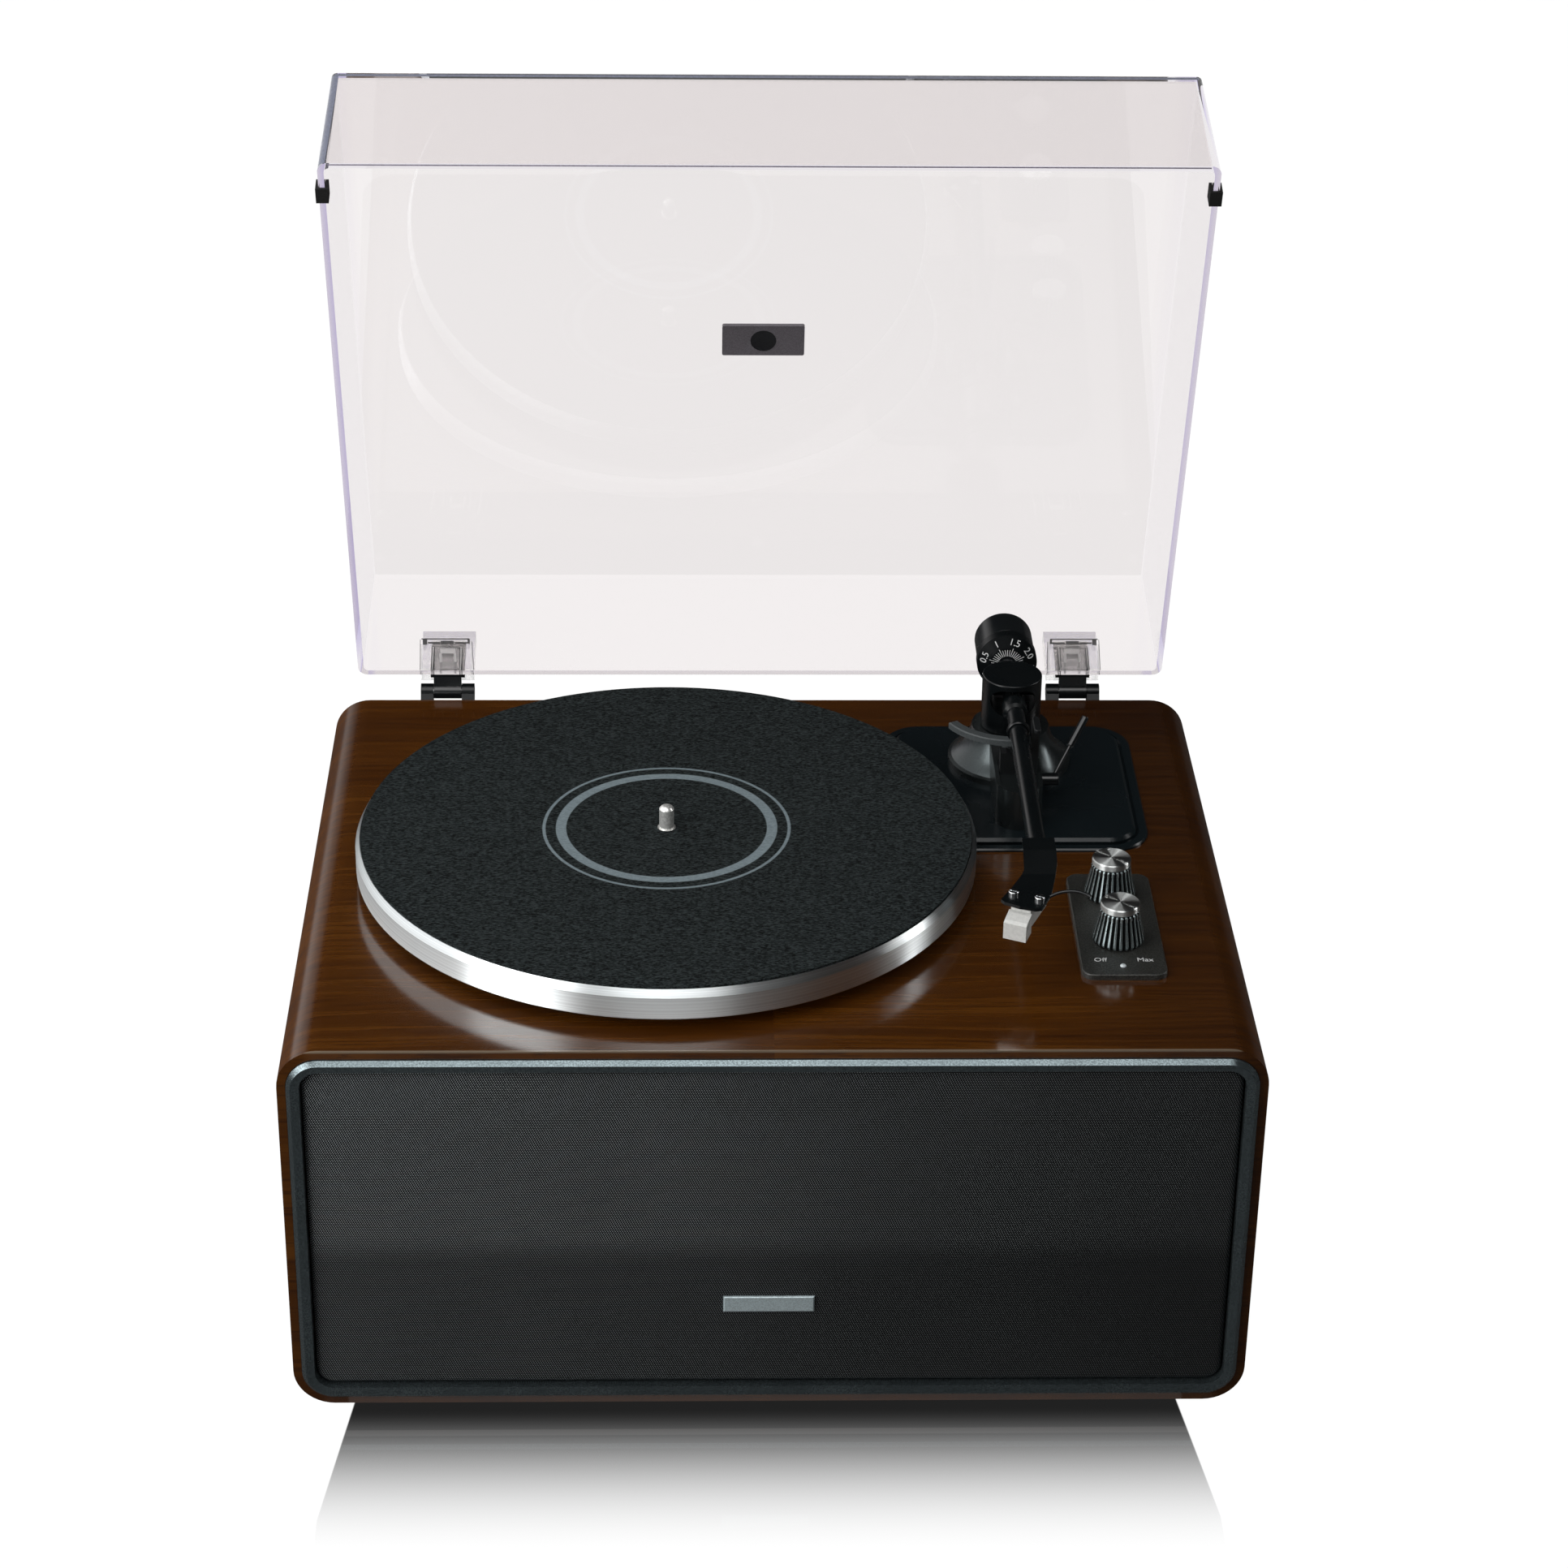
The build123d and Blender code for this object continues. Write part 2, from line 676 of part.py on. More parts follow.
with BuildPart() as rca_sockets:
    for jack_x, jack_z in rca_places:
        with BuildSketch(rear_face(jack_x, jack_z, back_y - 4)):
            Circle(jack_radius)
            Circle(jack_bore, mode=Mode.SUBTRACT)
        extrude(amount=4 + terminal_thickness + jack_length)
        with BuildSketch(rear_face(jack_x, jack_z, back_y + terminal_thickness)):
            Circle(jack_collar_radius)
            Circle(jack_bore, mode=Mode.SUBTRACT)
        extrude(amount=1.5)
rca_sockets.part.label = "rca_sockets"
export_step(rca_sockets.part, "parts/rca_sockets.step")

with BuildPart() as aux_socket:
    with BuildSketch(rear_face(*aux_place, back_y - aux_length + terminal_thickness + 1.5)):
        Circle(aux_radius)
        Circle(aux_bore, mode=Mode.SUBTRACT)
    extrude(amount=aux_length)
    with BuildSketch(rear_face(*aux_place, back_y + terminal_thickness)):
        RegularPolygon(aux_radius + 1.5, 6)
        Circle(aux_bore, mode=Mode.SUBTRACT)
    extrude(amount=1.5)
aux_socket.part.label = "aux_socket"
export_step(aux_socket.part, "parts/aux_socket.step")

with BuildPart() as dc_socket:
    with BuildSketch(rear_face(*dc_place, back_y - dc_length)):
        Circle(dc_radius)
    extrude(amount=dc_length + terminal_thickness + 0.8)
    with BuildSketch(rear_face(*dc_place, back_y + terminal_thickness + 0.8)):
        Circle(dc_bore)
        Circle(dc_pin_radius, mode=Mode.SUBTRACT)
    extrude(amount=-9.5, mode=Mode.SUBTRACT)
dc_socket.part.label = "dc_socket"
export_step(dc_socket.part, "parts/dc_socket.step")

rocker_rise = 2.6
rocker_plane = Plane(origin=rocker_pivot, x_dir=(1, 0, 0),
                     z_dir=(0, cos(radians(rocker_tilt)), sin(radians(rocker_tilt))))
with BuildPart() as power_rocker:
    with BuildSketch(rocker_plane.offset(-rocker_thickness + rocker_rise)):
        Rectangle(rocker_width, rocker_height * 0.84)
    extrude(amount=rocker_thickness - rocker_rise)
    with BuildSketch(rocker_plane):
        Rectangle(rocker_width, rocker_height * 0.94)
    extrude(amount=rocker_rise)
    fillet(power_rocker.edges().group_by(Axis.Y)[-1], radius=0.6)
    with BuildSketch(sideways(*rocker_pivot)):
        Circle(rocker_pin_radius)
    extrude(amount=rocker_pin_end, both=True)
power_rocker.part.label = "power_rocker"
export_step(power_rocker.part, "parts/power_rocker.step")

with BuildPart() as cabinet_screws:
    for screw_x, screw_z in rear_screw_places:
        with BuildSketch(rear_face(screw_x, screw_z + middle_z, back_y - rear_panel_thickness)):
            Circle(rear_screw_radius)
        extrude(amount=rear_panel_thickness)
        with BuildSketch(rear_face(screw_x, screw_z + middle_z)):
            Circle(screw_head_radius)
        extrude(amount=screw_head_height, taper=20)
    for screw_x, screw_z in plate_screw_places:
        head_y = back_y + terminal_thickness
        with BuildSketch(rear_face(screw_x, screw_z + middle_z, head_y - rear_screw_length)):
            Circle(rear_screw_radius)
        extrude(amount=rear_screw_length)
        with BuildSketch(rear_face(screw_x, screw_z + middle_z, head_y)):
            Circle(screw_head_radius)
        extrude(amount=screw_head_height, taper=20)
    for place in foot_places:
        with BuildSketch(Plane(origin=(*place, screw_head_height))):
            Circle(screw_head_radius)
        extrude(amount=screw_head_height)
        with BuildSketch(Plane(origin=(*place, 2 * screw_head_height))):
            Circle(foot_screw_radius)
        extrude(amount=foot_screw_length - screw_head_height)
cabinet_screws.part.label = "cabinet_screws"
export_step(cabinet_screws.part, "parts/cabinet_screws.step")

with BuildPart() as main_board:
    board_z = foot_height + cabinet_wall
    board_y = rear_panel_y - board_from_back
    board_top = board_z + standoff_height + board_thickness
    with BuildSketch(Plane(origin=(terminal_x, board_y, board_z))):
        with GridLocations(board_width - 2 * board_margin, board_length - 2 * board_margin, 2, 2):
            Circle(standoff_radius)
    extrude(amount=standoff_height)
    with BuildSketch(Plane(origin=(terminal_x, board_y, board_z + standoff_height))):
        Rectangle(board_width, board_length)
    extrude(amount=board_thickness)
    with BuildSketch(Plane(origin=(terminal_x, board_y, board_top))):
        with GridLocations(board_width / 6, board_length / 3, 4, 2):
            Circle(capacitor_radius)
    extrude(amount=capacitor_height)
    sink_x = terminal_x + board_width / 2 - board_margin - sink_thickness
    with BuildSketch(Plane(origin=(sink_x, board_y, board_top))):
        Rectangle(sink_thickness, board_length - 3 * sink_thickness)
    extrude(amount=sink_height)
main_board.part.label = "main_board"
export_step(main_board.part, "parts/main_board.step")

# ================================================================ platter drive
collar_top = platter_gap + hub_collar_height

with BuildPart() as bearing_housing:
    with BuildSketch(turned(platter_x, spindle_y, deck_z)):
        with BuildLine():
            Polyline(
                (shaft_radius + running_gap, bearing_flange_thickness),
                (bearing_flange_radius, bearing_flange_thickness), (bearing_flange_radius, 0),
                (bearing_radius, 0),
                (bearing_radius, -shaft_below_deck - bearing_floor), (0, -shaft_below_deck - bearing_floor),
                (0, -shaft_below_deck - part_gap),
                (shaft_radius + running_gap, -shaft_below_deck - part_gap),
                close=True,
            )
        make_face()
    revolve(axis=spot(platter_x, spindle_y, 0))
bearing_housing.part.label = "bearing_housing"
export_step(bearing_housing.part, "parts/bearing_housing.step")

with BuildPart() as spindle:
    with BuildSketch(turned(platter_x, spindle_y, deck_z)):
        spindle_top = mat_top + spindle_above_mat
        with BuildLine():
            Polyline(
                (0, -shaft_below_deck), (shaft_radius, -shaft_below_deck), (shaft_radius, platter_gap),
                (hub_collar_radius, platter_gap), (hub_collar_radius, collar_top),
                (hub_seat_radius, collar_top), (hub_seat_radius, mat_top), (spindle_radius, mat_top),
                (spindle_radius, spindle_top - spindle_tip),
            )
            ThreePointArc((spindle_radius, spindle_top - spindle_tip),
                          (spindle_radius * 0.75, spindle_top - spindle_tip * 0.4), (0.8, spindle_top))
            Polyline((0.8, spindle_top), (0, spindle_top), (0, -shaft_below_deck))
        make_face()
    revolve(axis=spot(platter_x, spindle_y, 0))
spindle.part.label = "spindle"
export_step(spindle.part, "parts/spindle.step")

platter_top = platter_gap + platter_thickness
web_top = platter_top - mat_recess
web_bottom = web_top - platter_web
rim_inner = platter_radius - platter_rim_wall
with BuildPart() as platter:
    with BuildSketch(turned(platter_x, spindle_y, deck_z)):
        with BuildLine():
            Polyline(
                (hub_seat_radius + seat_gap, collar_top), (hub_radius, collar_top),
                (hub_radius, web_bottom),
                (drive_ring_radius - drive_ring_wall, web_bottom),
                (drive_ring_radius - drive_ring_wall, web_bottom - drive_ring_height + 1),
                (drive_ring_radius, web_bottom - drive_ring_height + 1), (drive_ring_radius, web_bottom),
                (rim_inner, web_bottom), (rim_inner, platter_gap), (platter_radius - 0.6, platter_gap),
                (platter_radius, platter_gap + 0.6), (platter_radius, platter_top - platter_chamfer_drop),
                (platter_radius - platter_chamfer_in, platter_top), (mat_radius + 0.2, platter_top),
                (mat_radius + 0.2, web_top), (hub_seat_radius + seat_gap, web_top),
                close=True,
            )
        make_face()
    revolve(axis=spot(platter_x, spindle_y, 0))
platter.part.label = "platter"
export_step(platter.part, "parts/platter.step")

with BuildPart() as slipmat:
    with BuildSketch(deck(web_top)):
        with Locations((platter_x, spindle_y)):
            Circle(mat_radius)
            Circle(hub_seat_radius + slip_gap, mode=Mode.SUBTRACT)
    extrude(amount=mat_thickness)
slipmat.part.label = "slipmat"
export_step(slipmat.part, "parts/slipmat.step")

pulley_top = pulley_lift + pulley_height
with BuildPart() as motor_pulley:
    with BuildSketch(turned(pulley_x, pulley_y, deck_z)):
        with BuildLine():
            Polyline(
                (0, -cabinet_wall - motor_height + 4),
                (motor_shaft_radius, -cabinet_wall - motor_height + 4),
                (motor_shaft_radius, pulley_lift), (pulley_radius + pulley_flange, pulley_lift),
                (pulley_radius + pulley_flange, pulley_lift + 1), (pulley_radius, pulley_lift + 1.6),
                (pulley_radius, pulley_top - 1.6), (pulley_radius + pulley_flange, pulley_top - 1),
                (pulley_radius + pulley_flange, pulley_top), (0, pulley_top),
                close=True,
            )
        make_face()
    revolve(axis=spot(pulley_x, pulley_y, 0))
motor_pulley.part.label = "motor_pulley"
export_step(motor_pulley.part, "parts/motor_pulley.step")

with BuildPart() as motor:
    with BuildSketch(deck(-cabinet_wall)):
        with Locations((pulley_x, pulley_y)):
            Circle(motor_radius)
            Circle(motor_shaft_radius + running_gap, mode=Mode.SUBTRACT)
    extrude(amount=-motor_height)
    with BuildSketch(deck(-cabinet_wall - motor_height)):
        with Locations((pulley_x, pulley_y)):
            Circle(motor_radius * 0.45)
    extrude(amount=-2)
    with BuildSketch(deck(-cabinet_wall)):
        with Locations((pulley_x, pulley_y)):
            SlotOverall(2 * motor_radius + 18, 14, rotation=45)
            Circle(motor_shaft_radius + running_gap, mode=Mode.SUBTRACT)
    extrude(amount=-2)
motor.part.label = "motor"
export_step(motor.part, "parts/motor.step")

belt_low = pulley_lift + pulley_height / 2 - belt_height / 2


def belt_outline(grow):
    """Loop round the drive ring and the pulley, at a distance outside them."""
    ring = drive_ring_radius + grow
    wheel = pulley_radius + grow
    lean = radians(pulley_angle)
    spread = acos((ring - wheel) / pulley_distance)
    ring_touch = []
    wheel_touch = []
    for side in (1, -1):
        reach = (cos(lean + side * spread), sin(lean + side * spread))
        ring_touch.append((platter_x + ring * reach[0], spindle_y + ring * reach[1]))
        wheel_touch.append((pulley_x + wheel * reach[0], pulley_y + wheel * reach[1]))
    ring_far = (platter_x - ring * cos(lean), spindle_y - ring * sin(lean))
    wheel_far = (pulley_x + wheel * cos(lean), pulley_y + wheel * sin(lean))
    ThreePointArc(ring_touch[0], ring_far, ring_touch[1])
    Line(ring_touch[1], wheel_touch[1])
    ThreePointArc(wheel_touch[1], wheel_far, wheel_touch[0])
    Line(wheel_touch[0], ring_touch[0])


with BuildPart() as drive_belt:
    with BuildSketch(deck(belt_low)):
        with BuildLine():
            belt_outline(belt_air + belt_thickness)
        make_face()
        with BuildLine():
            belt_outline(belt_air)
        make_face(mode=Mode.SUBTRACT)
    extrude(amount=belt_height)
drive_belt.part.label = "drive_belt"
export_step(drive_belt.part, "parts/drive_belt.step")

# ================================================================ deck plates and controls
arm_plate_width = arm_plate_right - arm_plate_left
arm_plate_length = arm_plate_back - arm_plate_front
arm_plate_x = (arm_plate_left + arm_plate_right) / 2
arm_plate_y = cabinet_y + (arm_plate_front + arm_plate_back) / 2

plateau_width = arm_plate_width - 2 * arm_plate_border
plateau_length = arm_plate_length - 2 * arm_plate_border
plateau_corner = arm_plate_corner - arm_plate_border

with BuildPart() as tonearm_plate:
    with BuildSketch(deck()):
        with Locations((arm_plate_x, arm_plate_y)):
            RectangleRounded(arm_plate_width, arm_plate_length, arm_plate_corner)
    extrude(amount=arm_plate_lip)
    chamfer(tonearm_plate.edges().group_by(Axis.Z)[-1], length=0.7)
    with BuildSketch(deck(arm_plate_lip * 0.4)):
        with Locations((arm_plate_x, arm_plate_y)):
            RectangleRounded(plateau_width + 2 * arm_plate_groove, plateau_length + 2 * arm_plate_groove,
                             plateau_corner + arm_plate_groove)
            RectangleRounded(plateau_width, plateau_length, plateau_corner, mode=Mode.SUBTRACT)
    extrude(amount=arm_plate_lip, mode=Mode.SUBTRACT)
    with BuildSketch(deck(arm_plate_lip * 0.4)):
        with Locations((arm_plate_x, arm_plate_y)):
            RectangleRounded(plateau_width, plateau_length, plateau_corner)
    extrude(amount=arm_plate_height - arm_plate_lip * 0.4)
    chamfer(tonearm_plate.edges().group_by(Axis.Z)[-1], length=1.4, length2=1.6)
    with BuildSketch(deck()):
        with Locations((pivot_x, arm_y)):
            Circle(base_stem_radius + slip_gap)
    extrude(amount=arm_plate_height, mode=Mode.SUBTRACT)
tonearm_plate.part.label = "tonearm_plate"
export_step(tonearm_plate.part, "parts/tonearm_plate.step")

with BuildPart() as control_plate:
    with BuildSketch(deck()):
        with Locations((control_plate_x, cabinet_y + control_plate_y)):
            RectangleRounded(control_plate_width, control_plate_length, control_plate_corner)
    extrude(amount=control_plate_thickness)
    fillet(control_plate.edges().group_by(Axis.Z)[-1], radius=0.8)
    with BuildSketch(deck()):
        with Locations((knob_x, cabinet_y + volume_y), (knob_x, cabinet_y + selector_y)):
            Circle(control_bush_radius + seat_gap)
        with Locations((knob_x, cabinet_y + lens_y)):
            Circle(lens_radius + seat_gap)
    extrude(amount=control_plate_thickness, mode=Mode.SUBTRACT)
control_plate.part.label = "control_plate"
export_step(control_plate.part, "parts/control_plate.step")

with BuildPart() as indicator_lens:
    with BuildSketch(turned(knob_x, cabinet_y + lens_y, deck_z)):
        with BuildLine():
            Polyline((0.3, control_top + lens_proud), (0, control_top + lens_proud), (0, -2),
                     (lens_radius, -2),
                     (lens_radius, control_top))
            ThreePointArc((lens_radius, control_top), (lens_radius * 0.75, control_top + lens_proud * 0.7),
                          (0.3, control_top + lens_proud))
        make_face()
    revolve(axis=spot(knob_x, cabinet_y + lens_y, 0))
indicator_lens.part.label = "indicator_lens"
export_step(indicator_lens.part, "parts/indicator_lens.step")

skirt_bottom = control_top + knob_skirt_gap
skirt_top = skirt_bottom + knob_skirt_height
shaft_top = skirt_bottom + 12
shaft_low = -control_body_height + 3
skirt_lean = atan2(knob_base_radius - knob_neck_radius, knob_skirt_height - 3)


volume_place = (knob_x, cabinet_y + volume_y)
selector_place = (knob_x, cabinet_y + selector_y)
selector_step = Location((0, selector_y - volume_y, 0))

with BuildPart() as volume_knob:
    with BuildSketch(turned(*volume_place, deck_z)):
        with BuildLine():
            Polyline(
                (control_shaft_radius + seat_gap, shaft_top), (0, shaft_top),
                (0, skirt_top - cap_spigot_depth),
                (cap_spigot_radius + seat_gap, skirt_top - cap_spigot_depth),
                (cap_spigot_radius + seat_gap, skirt_top),
                (knob_neck_radius - 1.2, skirt_top), (knob_neck_radius - 0.2, skirt_top - 0.8),
                (knob_neck_radius, skirt_top - 3), (knob_base_radius - 0.3, skirt_bottom + 3),
                (knob_base_radius, skirt_bottom + 1.2), (knob_base_radius - 0.5, skirt_bottom),
                (knob_base_radius - 2, skirt_bottom), (knob_base_radius - 2, skirt_bottom + 5),
                (control_shaft_radius + seat_gap, skirt_bottom + 5),
                close=True,
            )
        make_face()
    revolve(axis=spot(*volume_place, 0))
    for step in range(flute_count):
        around = radians(360.0 * step / flute_count)
        outward = (cos(around), sin(around))
        flute_foot = Plane(
            origin=(knob_x + (knob_base_radius + 0.2) * outward[0],
                    cabinet_y + volume_y + (knob_base_radius + 0.2) * outward[1], deck_z + skirt_bottom - 1),
            z_dir=(-sin(skirt_lean) * outward[0], -sin(skirt_lean) * outward[1], cos(skirt_lean)),
        )
        with BuildSketch(flute_foot):
            Circle(flute_radius)
        extrude(amount=knob_skirt_height - 1.5, mode=Mode.SUBTRACT)
volume_knob.part.label = "volume_knob"
export_step(volume_knob.part, "parts/volume_knob.step")

with BuildPart() as selector_knob:
    with Locations(selector_step):
        add(volume_knob.part)
selector_knob.part.label = "selector_knob"
export_step(selector_knob.part, "parts/selector_knob.step")

with BuildPart() as cap_blank:
    with BuildSketch(turned(0, 0, deck_z)):
        with BuildLine():
            Polyline(
                (0, skirt_top - cap_spigot_depth), (cap_spigot_radius, skirt_top - cap_spigot_depth),
                (cap_spigot_radius, skirt_top), (cap_radius - cap_edge, skirt_top),
                (cap_radius, skirt_top + cap_edge), (cap_radius, skirt_top + cap_height - cap_edge),
                (cap_radius - cap_edge, skirt_top + cap_height), (0, skirt_top + cap_height),
                close=True,
            )
        make_face()
    revolve(axis=spot(0, 0, 0))
    with BuildSketch(deck(skirt_top + cap_height)):
        with Locations((cap_radius - 2.0, 0)):
            Circle(dot_radius)
    extrude(amount=-dot_depth, mode=Mode.SUBTRACT)

with BuildPart() as volume_knob_cap:
    with Locations(Location((*volume_place, 0), (0, 0, volume_dot_angle))):
        add(cap_blank.part)
volume_knob_cap.part.label = "volume_knob_cap"
export_step(volume_knob_cap.part, "parts/volume_knob_cap.step")

with BuildPart() as selector_knob_cap:
    with Locations(Location((*selector_place, 0), (0, 0, selector_dot_angle))):
        add(cap_blank.part)
selector_knob_cap.part.label = "selector_knob_cap"
export_step(selector_knob_cap.part, "parts/selector_knob_cap.step")

with BuildPart() as volume_shaft:
    with BuildSketch(deck(shaft_low)):
        with Locations(volume_place):
            Circle(control_shaft_radius)
    extrude(amount=shaft_top - shaft_low)
volume_shaft.part.label = "volume_shaft"
export_step(volume_shaft.part, "parts/volume_shaft.step")

with BuildPart() as selector_shaft:
    with Locations(selector_step):
        add(volume_shaft.part)
selector_shaft.part.label = "selector_shaft"
export_step(selector_shaft.part, "parts/selector_shaft.step")

with BuildPart() as volume_control:
    with BuildSketch(deck()):
        with Locations(volume_place):
            Rectangle(control_body_size, control_body_size)
    extrude(amount=-control_body_height)
    with BuildSketch(deck()):
        with Locations(volume_place):
            Circle(control_bush_radius)
    extrude(amount=control_top + control_bush_above)
    with BuildSketch(deck(shaft_low - part_gap)):
        with Locations(volume_place):
            Circle(control_shaft_radius + running_gap)
    extrude(amount=control_top + control_bush_above - shaft_low + 1, mode=Mode.SUBTRACT)
volume_control.part.label = "volume_control"
export_step(volume_control.part, "parts/volume_control.step")

with BuildPart() as selector_switch:
    with Locations(selector_step):
        add(volume_control.part)
selector_switch.part.label = "selector_switch"
export_step(selector_switch.part, "parts/selector_switch.step")

# ================================================================ tonearm base
post_x = pivot_x + platform_radius * cos(radians(platform_post_angle))
post_y = arm_y + platform_radius * sin(radians(platform_post_angle))
platform_top = arm_height - tube_radius - platform_drop
platform_bottom = platform_top - platform_thickness
post_floor = platform_bottom - platform_travel - platform_post_bite
cue_y = arm_y - cue_forward
tower_side = pivot_x + tower_width / 2

with BuildPart() as tonearm_base:
    with BuildSketch(turned(pivot_x, arm_y, deck_z)):
        with BuildLine():
            Polyline(
                (base_neck_radius, base_neck_height), (0, base_neck_height), (0, -base_stem_below),
                (base_stem_radius, -base_stem_below), (base_stem_radius, arm_plate_height),
                (base_radius, arm_plate_height), (base_radius, arm_plate_height + base_ring_height),
                (base_radius - 1.6, arm_plate_height + base_ring_height + 0.8),
            )
            ThreePointArc((base_radius - 1.6, arm_plate_height + base_ring_height + 0.8),
                          (base_radius - 7.5, arm_plate_height + 10.5), (base_neck_radius, base_neck_height))
        make_face()
    revolve(axis=spot(pivot_x, arm_y, 0))
    with BuildSketch(deck(arm_plate_height)):
        with Locations((pivot_x, arm_y - tower_reach / 2)):
            SlotOverall(tower_reach, tower_width, rotation=90)
    extrude(amount=tower_height - arm_plate_height)
    with BuildSketch(deck(tower_height)):
        with Locations((pivot_x, arm_y - tower_reach / 2)):
            SlotOverall(tower_reach - 4, tower_width - 4, rotation=90)
    extrude(amount=-0.8, mode=Mode.SUBTRACT)
    with BuildSketch(deck(base_neck_height)):
        with Locations((pivot_x, arm_y)):
            Circle(base_neck_radius)
    extrude(amount=tower_height - base_neck_height, mode=Mode.SUBTRACT)
    with BuildSketch(deck(base_neck_height)):
        with Locations((pivot_x, arm_y)):
            Circle(turret_post_radius + running_gap)
    extrude(amount=-turret_post_length - part_gap, mode=Mode.SUBTRACT)
    with BuildSketch(deck(tower_height)):
        with Locations((post_x, post_y)):
            Circle(platform_post_radius + running_gap)
    extrude(amount=-(tower_height - post_floor) - part_gap, mode=Mode.SUBTRACT)
    with BuildSketch(sideways(tower_side, cue_y, deck_z + cue_height)):
        Circle(cue_shaft_radius + running_gap)
    extrude(amount=-cue_shaft_in - part_gap, mode=Mode.SUBTRACT)
tonearm_base.part.label = "tonearm_base"
export_step(tonearm_base.part, "parts/tonearm_base.step")

# ---------------------------------------------------------------- arm rest and its lock
rest_y = arm_y - rest_distance
rest_floor = tower_height - 0.8
rest_inner = tube_radius + rest_side_gap
cradle_z = arm_z - tube_radius - rest_clearance
rest_high = arm_height + tube_radius + lock_clearance
rest_x = pivot_x
lock_x = rest_x + rest_inner + lock_width / 2

with BuildPart() as arm_rest:
    with BuildSketch(upright(rest_y + rest_length / 2)):
        with BuildLine():
            Polyline(
                (rest_x - rest_inner - rest_wall, deck_z + rest_floor),
                (rest_x + rest_inner + lock_width, deck_z + rest_floor),
                (rest_x + rest_inner + lock_width, deck_z + rest_high),
                (rest_x + rest_inner, deck_z + rest_high), (rest_x + rest_inner, cradle_z + 2.5),
                (rest_x + rest_inner - 2.5, cradle_z - 1.2), (rest_x - rest_inner + 2.5, cradle_z - 1.2),
                (rest_x - rest_inner, cradle_z - 0.2), (rest_x - rest_inner - rest_wall, cradle_z - 0.2),
                close=True,
            )
        make_face()
    extrude(amount=rest_length)
    with BuildSketch(deck(rest_high)):
        with Locations((lock_x, rest_y)):
            Circle(lock_pin_radius + running_gap)
    extrude(amount=-8, mode=Mode.SUBTRACT)
arm_rest.part.label = "arm_rest"
export_step(arm_rest.part, "parts/arm_rest.step")

with BuildPart() as arm_rest_lock:
    with BuildSketch(deck(rest_high + lock_lift)):
        with Locations((lock_x, rest_y - (lock_length - lock_width) / 2)):
            SlotOverall(lock_length, lock_width, rotation=90)
    extrude(amount=lock_thickness)
    fillet(arm_rest_lock.edges().group_by(Axis.Z)[-1], radius=0.5)
    with BuildSketch(deck(rest_high + lock_lift)):
        with Locations((lock_x, rest_y)):
            Circle(lock_pin_radius)
    extrude(amount=-7)
arm_rest_lock.part.label = "arm_rest_lock"
export_step(arm_rest_lock.part, "parts/arm_rest_lock.step")

# ---------------------------------------------------------------- cueing platform and lever
platform_inner = platform_radius - platform_width / 2
platform_outer = platform_radius + platform_width / 2
platform_sweep = platform_end - platform_start
with BuildPart() as lift_platform:
    with BuildSketch(deck(platform_bottom)):
        with BuildLine():
            CenterArc((pivot_x, arm_y), platform_outer, platform_start, platform_sweep)
            CenterArc((pivot_x, arm_y), platform_inner, platform_start, platform_sweep)
            for angle in (platform_start, platform_end):
                ray = (cos(radians(angle)), sin(radians(angle)))
                Line((pivot_x + platform_inner * ray[0], arm_y + platform_inner * ray[1]),
                     (pivot_x + platform_outer * ray[0], arm_y + platform_outer * ray[1]))
        make_face()
    extrude(amount=platform_thickness)
    fillet(lift_platform.edges().group_by(Axis.Z)[-1], radius=0.8)
    with BuildSketch(deck(post_floor)):
        with Locations((post_x, post_y)):
            Circle(platform_post_radius)
    extrude(amount=platform_bottom - post_floor)
lift_platform.part.label = "lift_platform"
export_step(lift_platform.part, "parts/lift_platform.step")

cue_length = hypot(cue_right, cue_back, cue_up)
cue_dir = Vector(cue_right / cue_length, cue_back / cue_length, cue_up / cue_length)
cue_root = Vector(tower_side + cue_shaft_out - cue_shaft_radius, cue_y, deck_z + cue_height)
with BuildPart() as cue_lever:
    with BuildSketch(sideways(tower_side - cue_shaft_in, cue_y, deck_z + cue_height)):
        Circle(cue_shaft_radius)
    extrude(amount=cue_shaft_in + cue_shaft_out)
    fillet(cue_lever.edges().group_by(Axis.X)[-1], radius=0.6)
    with BuildSketch(Plane(origin=cue_root, z_dir=cue_dir)):
        Circle(cue_rod_radius)
    extrude(amount=cue_rod_length)
    with BuildSketch(Plane(origin=cue_root + cue_dir * cue_rod_length, z_dir=cue_dir)):
        Circle(cue_grip_radius)
    extrude(amount=cue_grip_length)
    fillet(cue_lever.edges().filter_by(GeomType.CIRCLE).sort_by(Axis.Z)[-1], radius=0.6)
cue_lever.part.label = "cue_lever"
export_step(cue_lever.part, "parts/cue_lever.step")

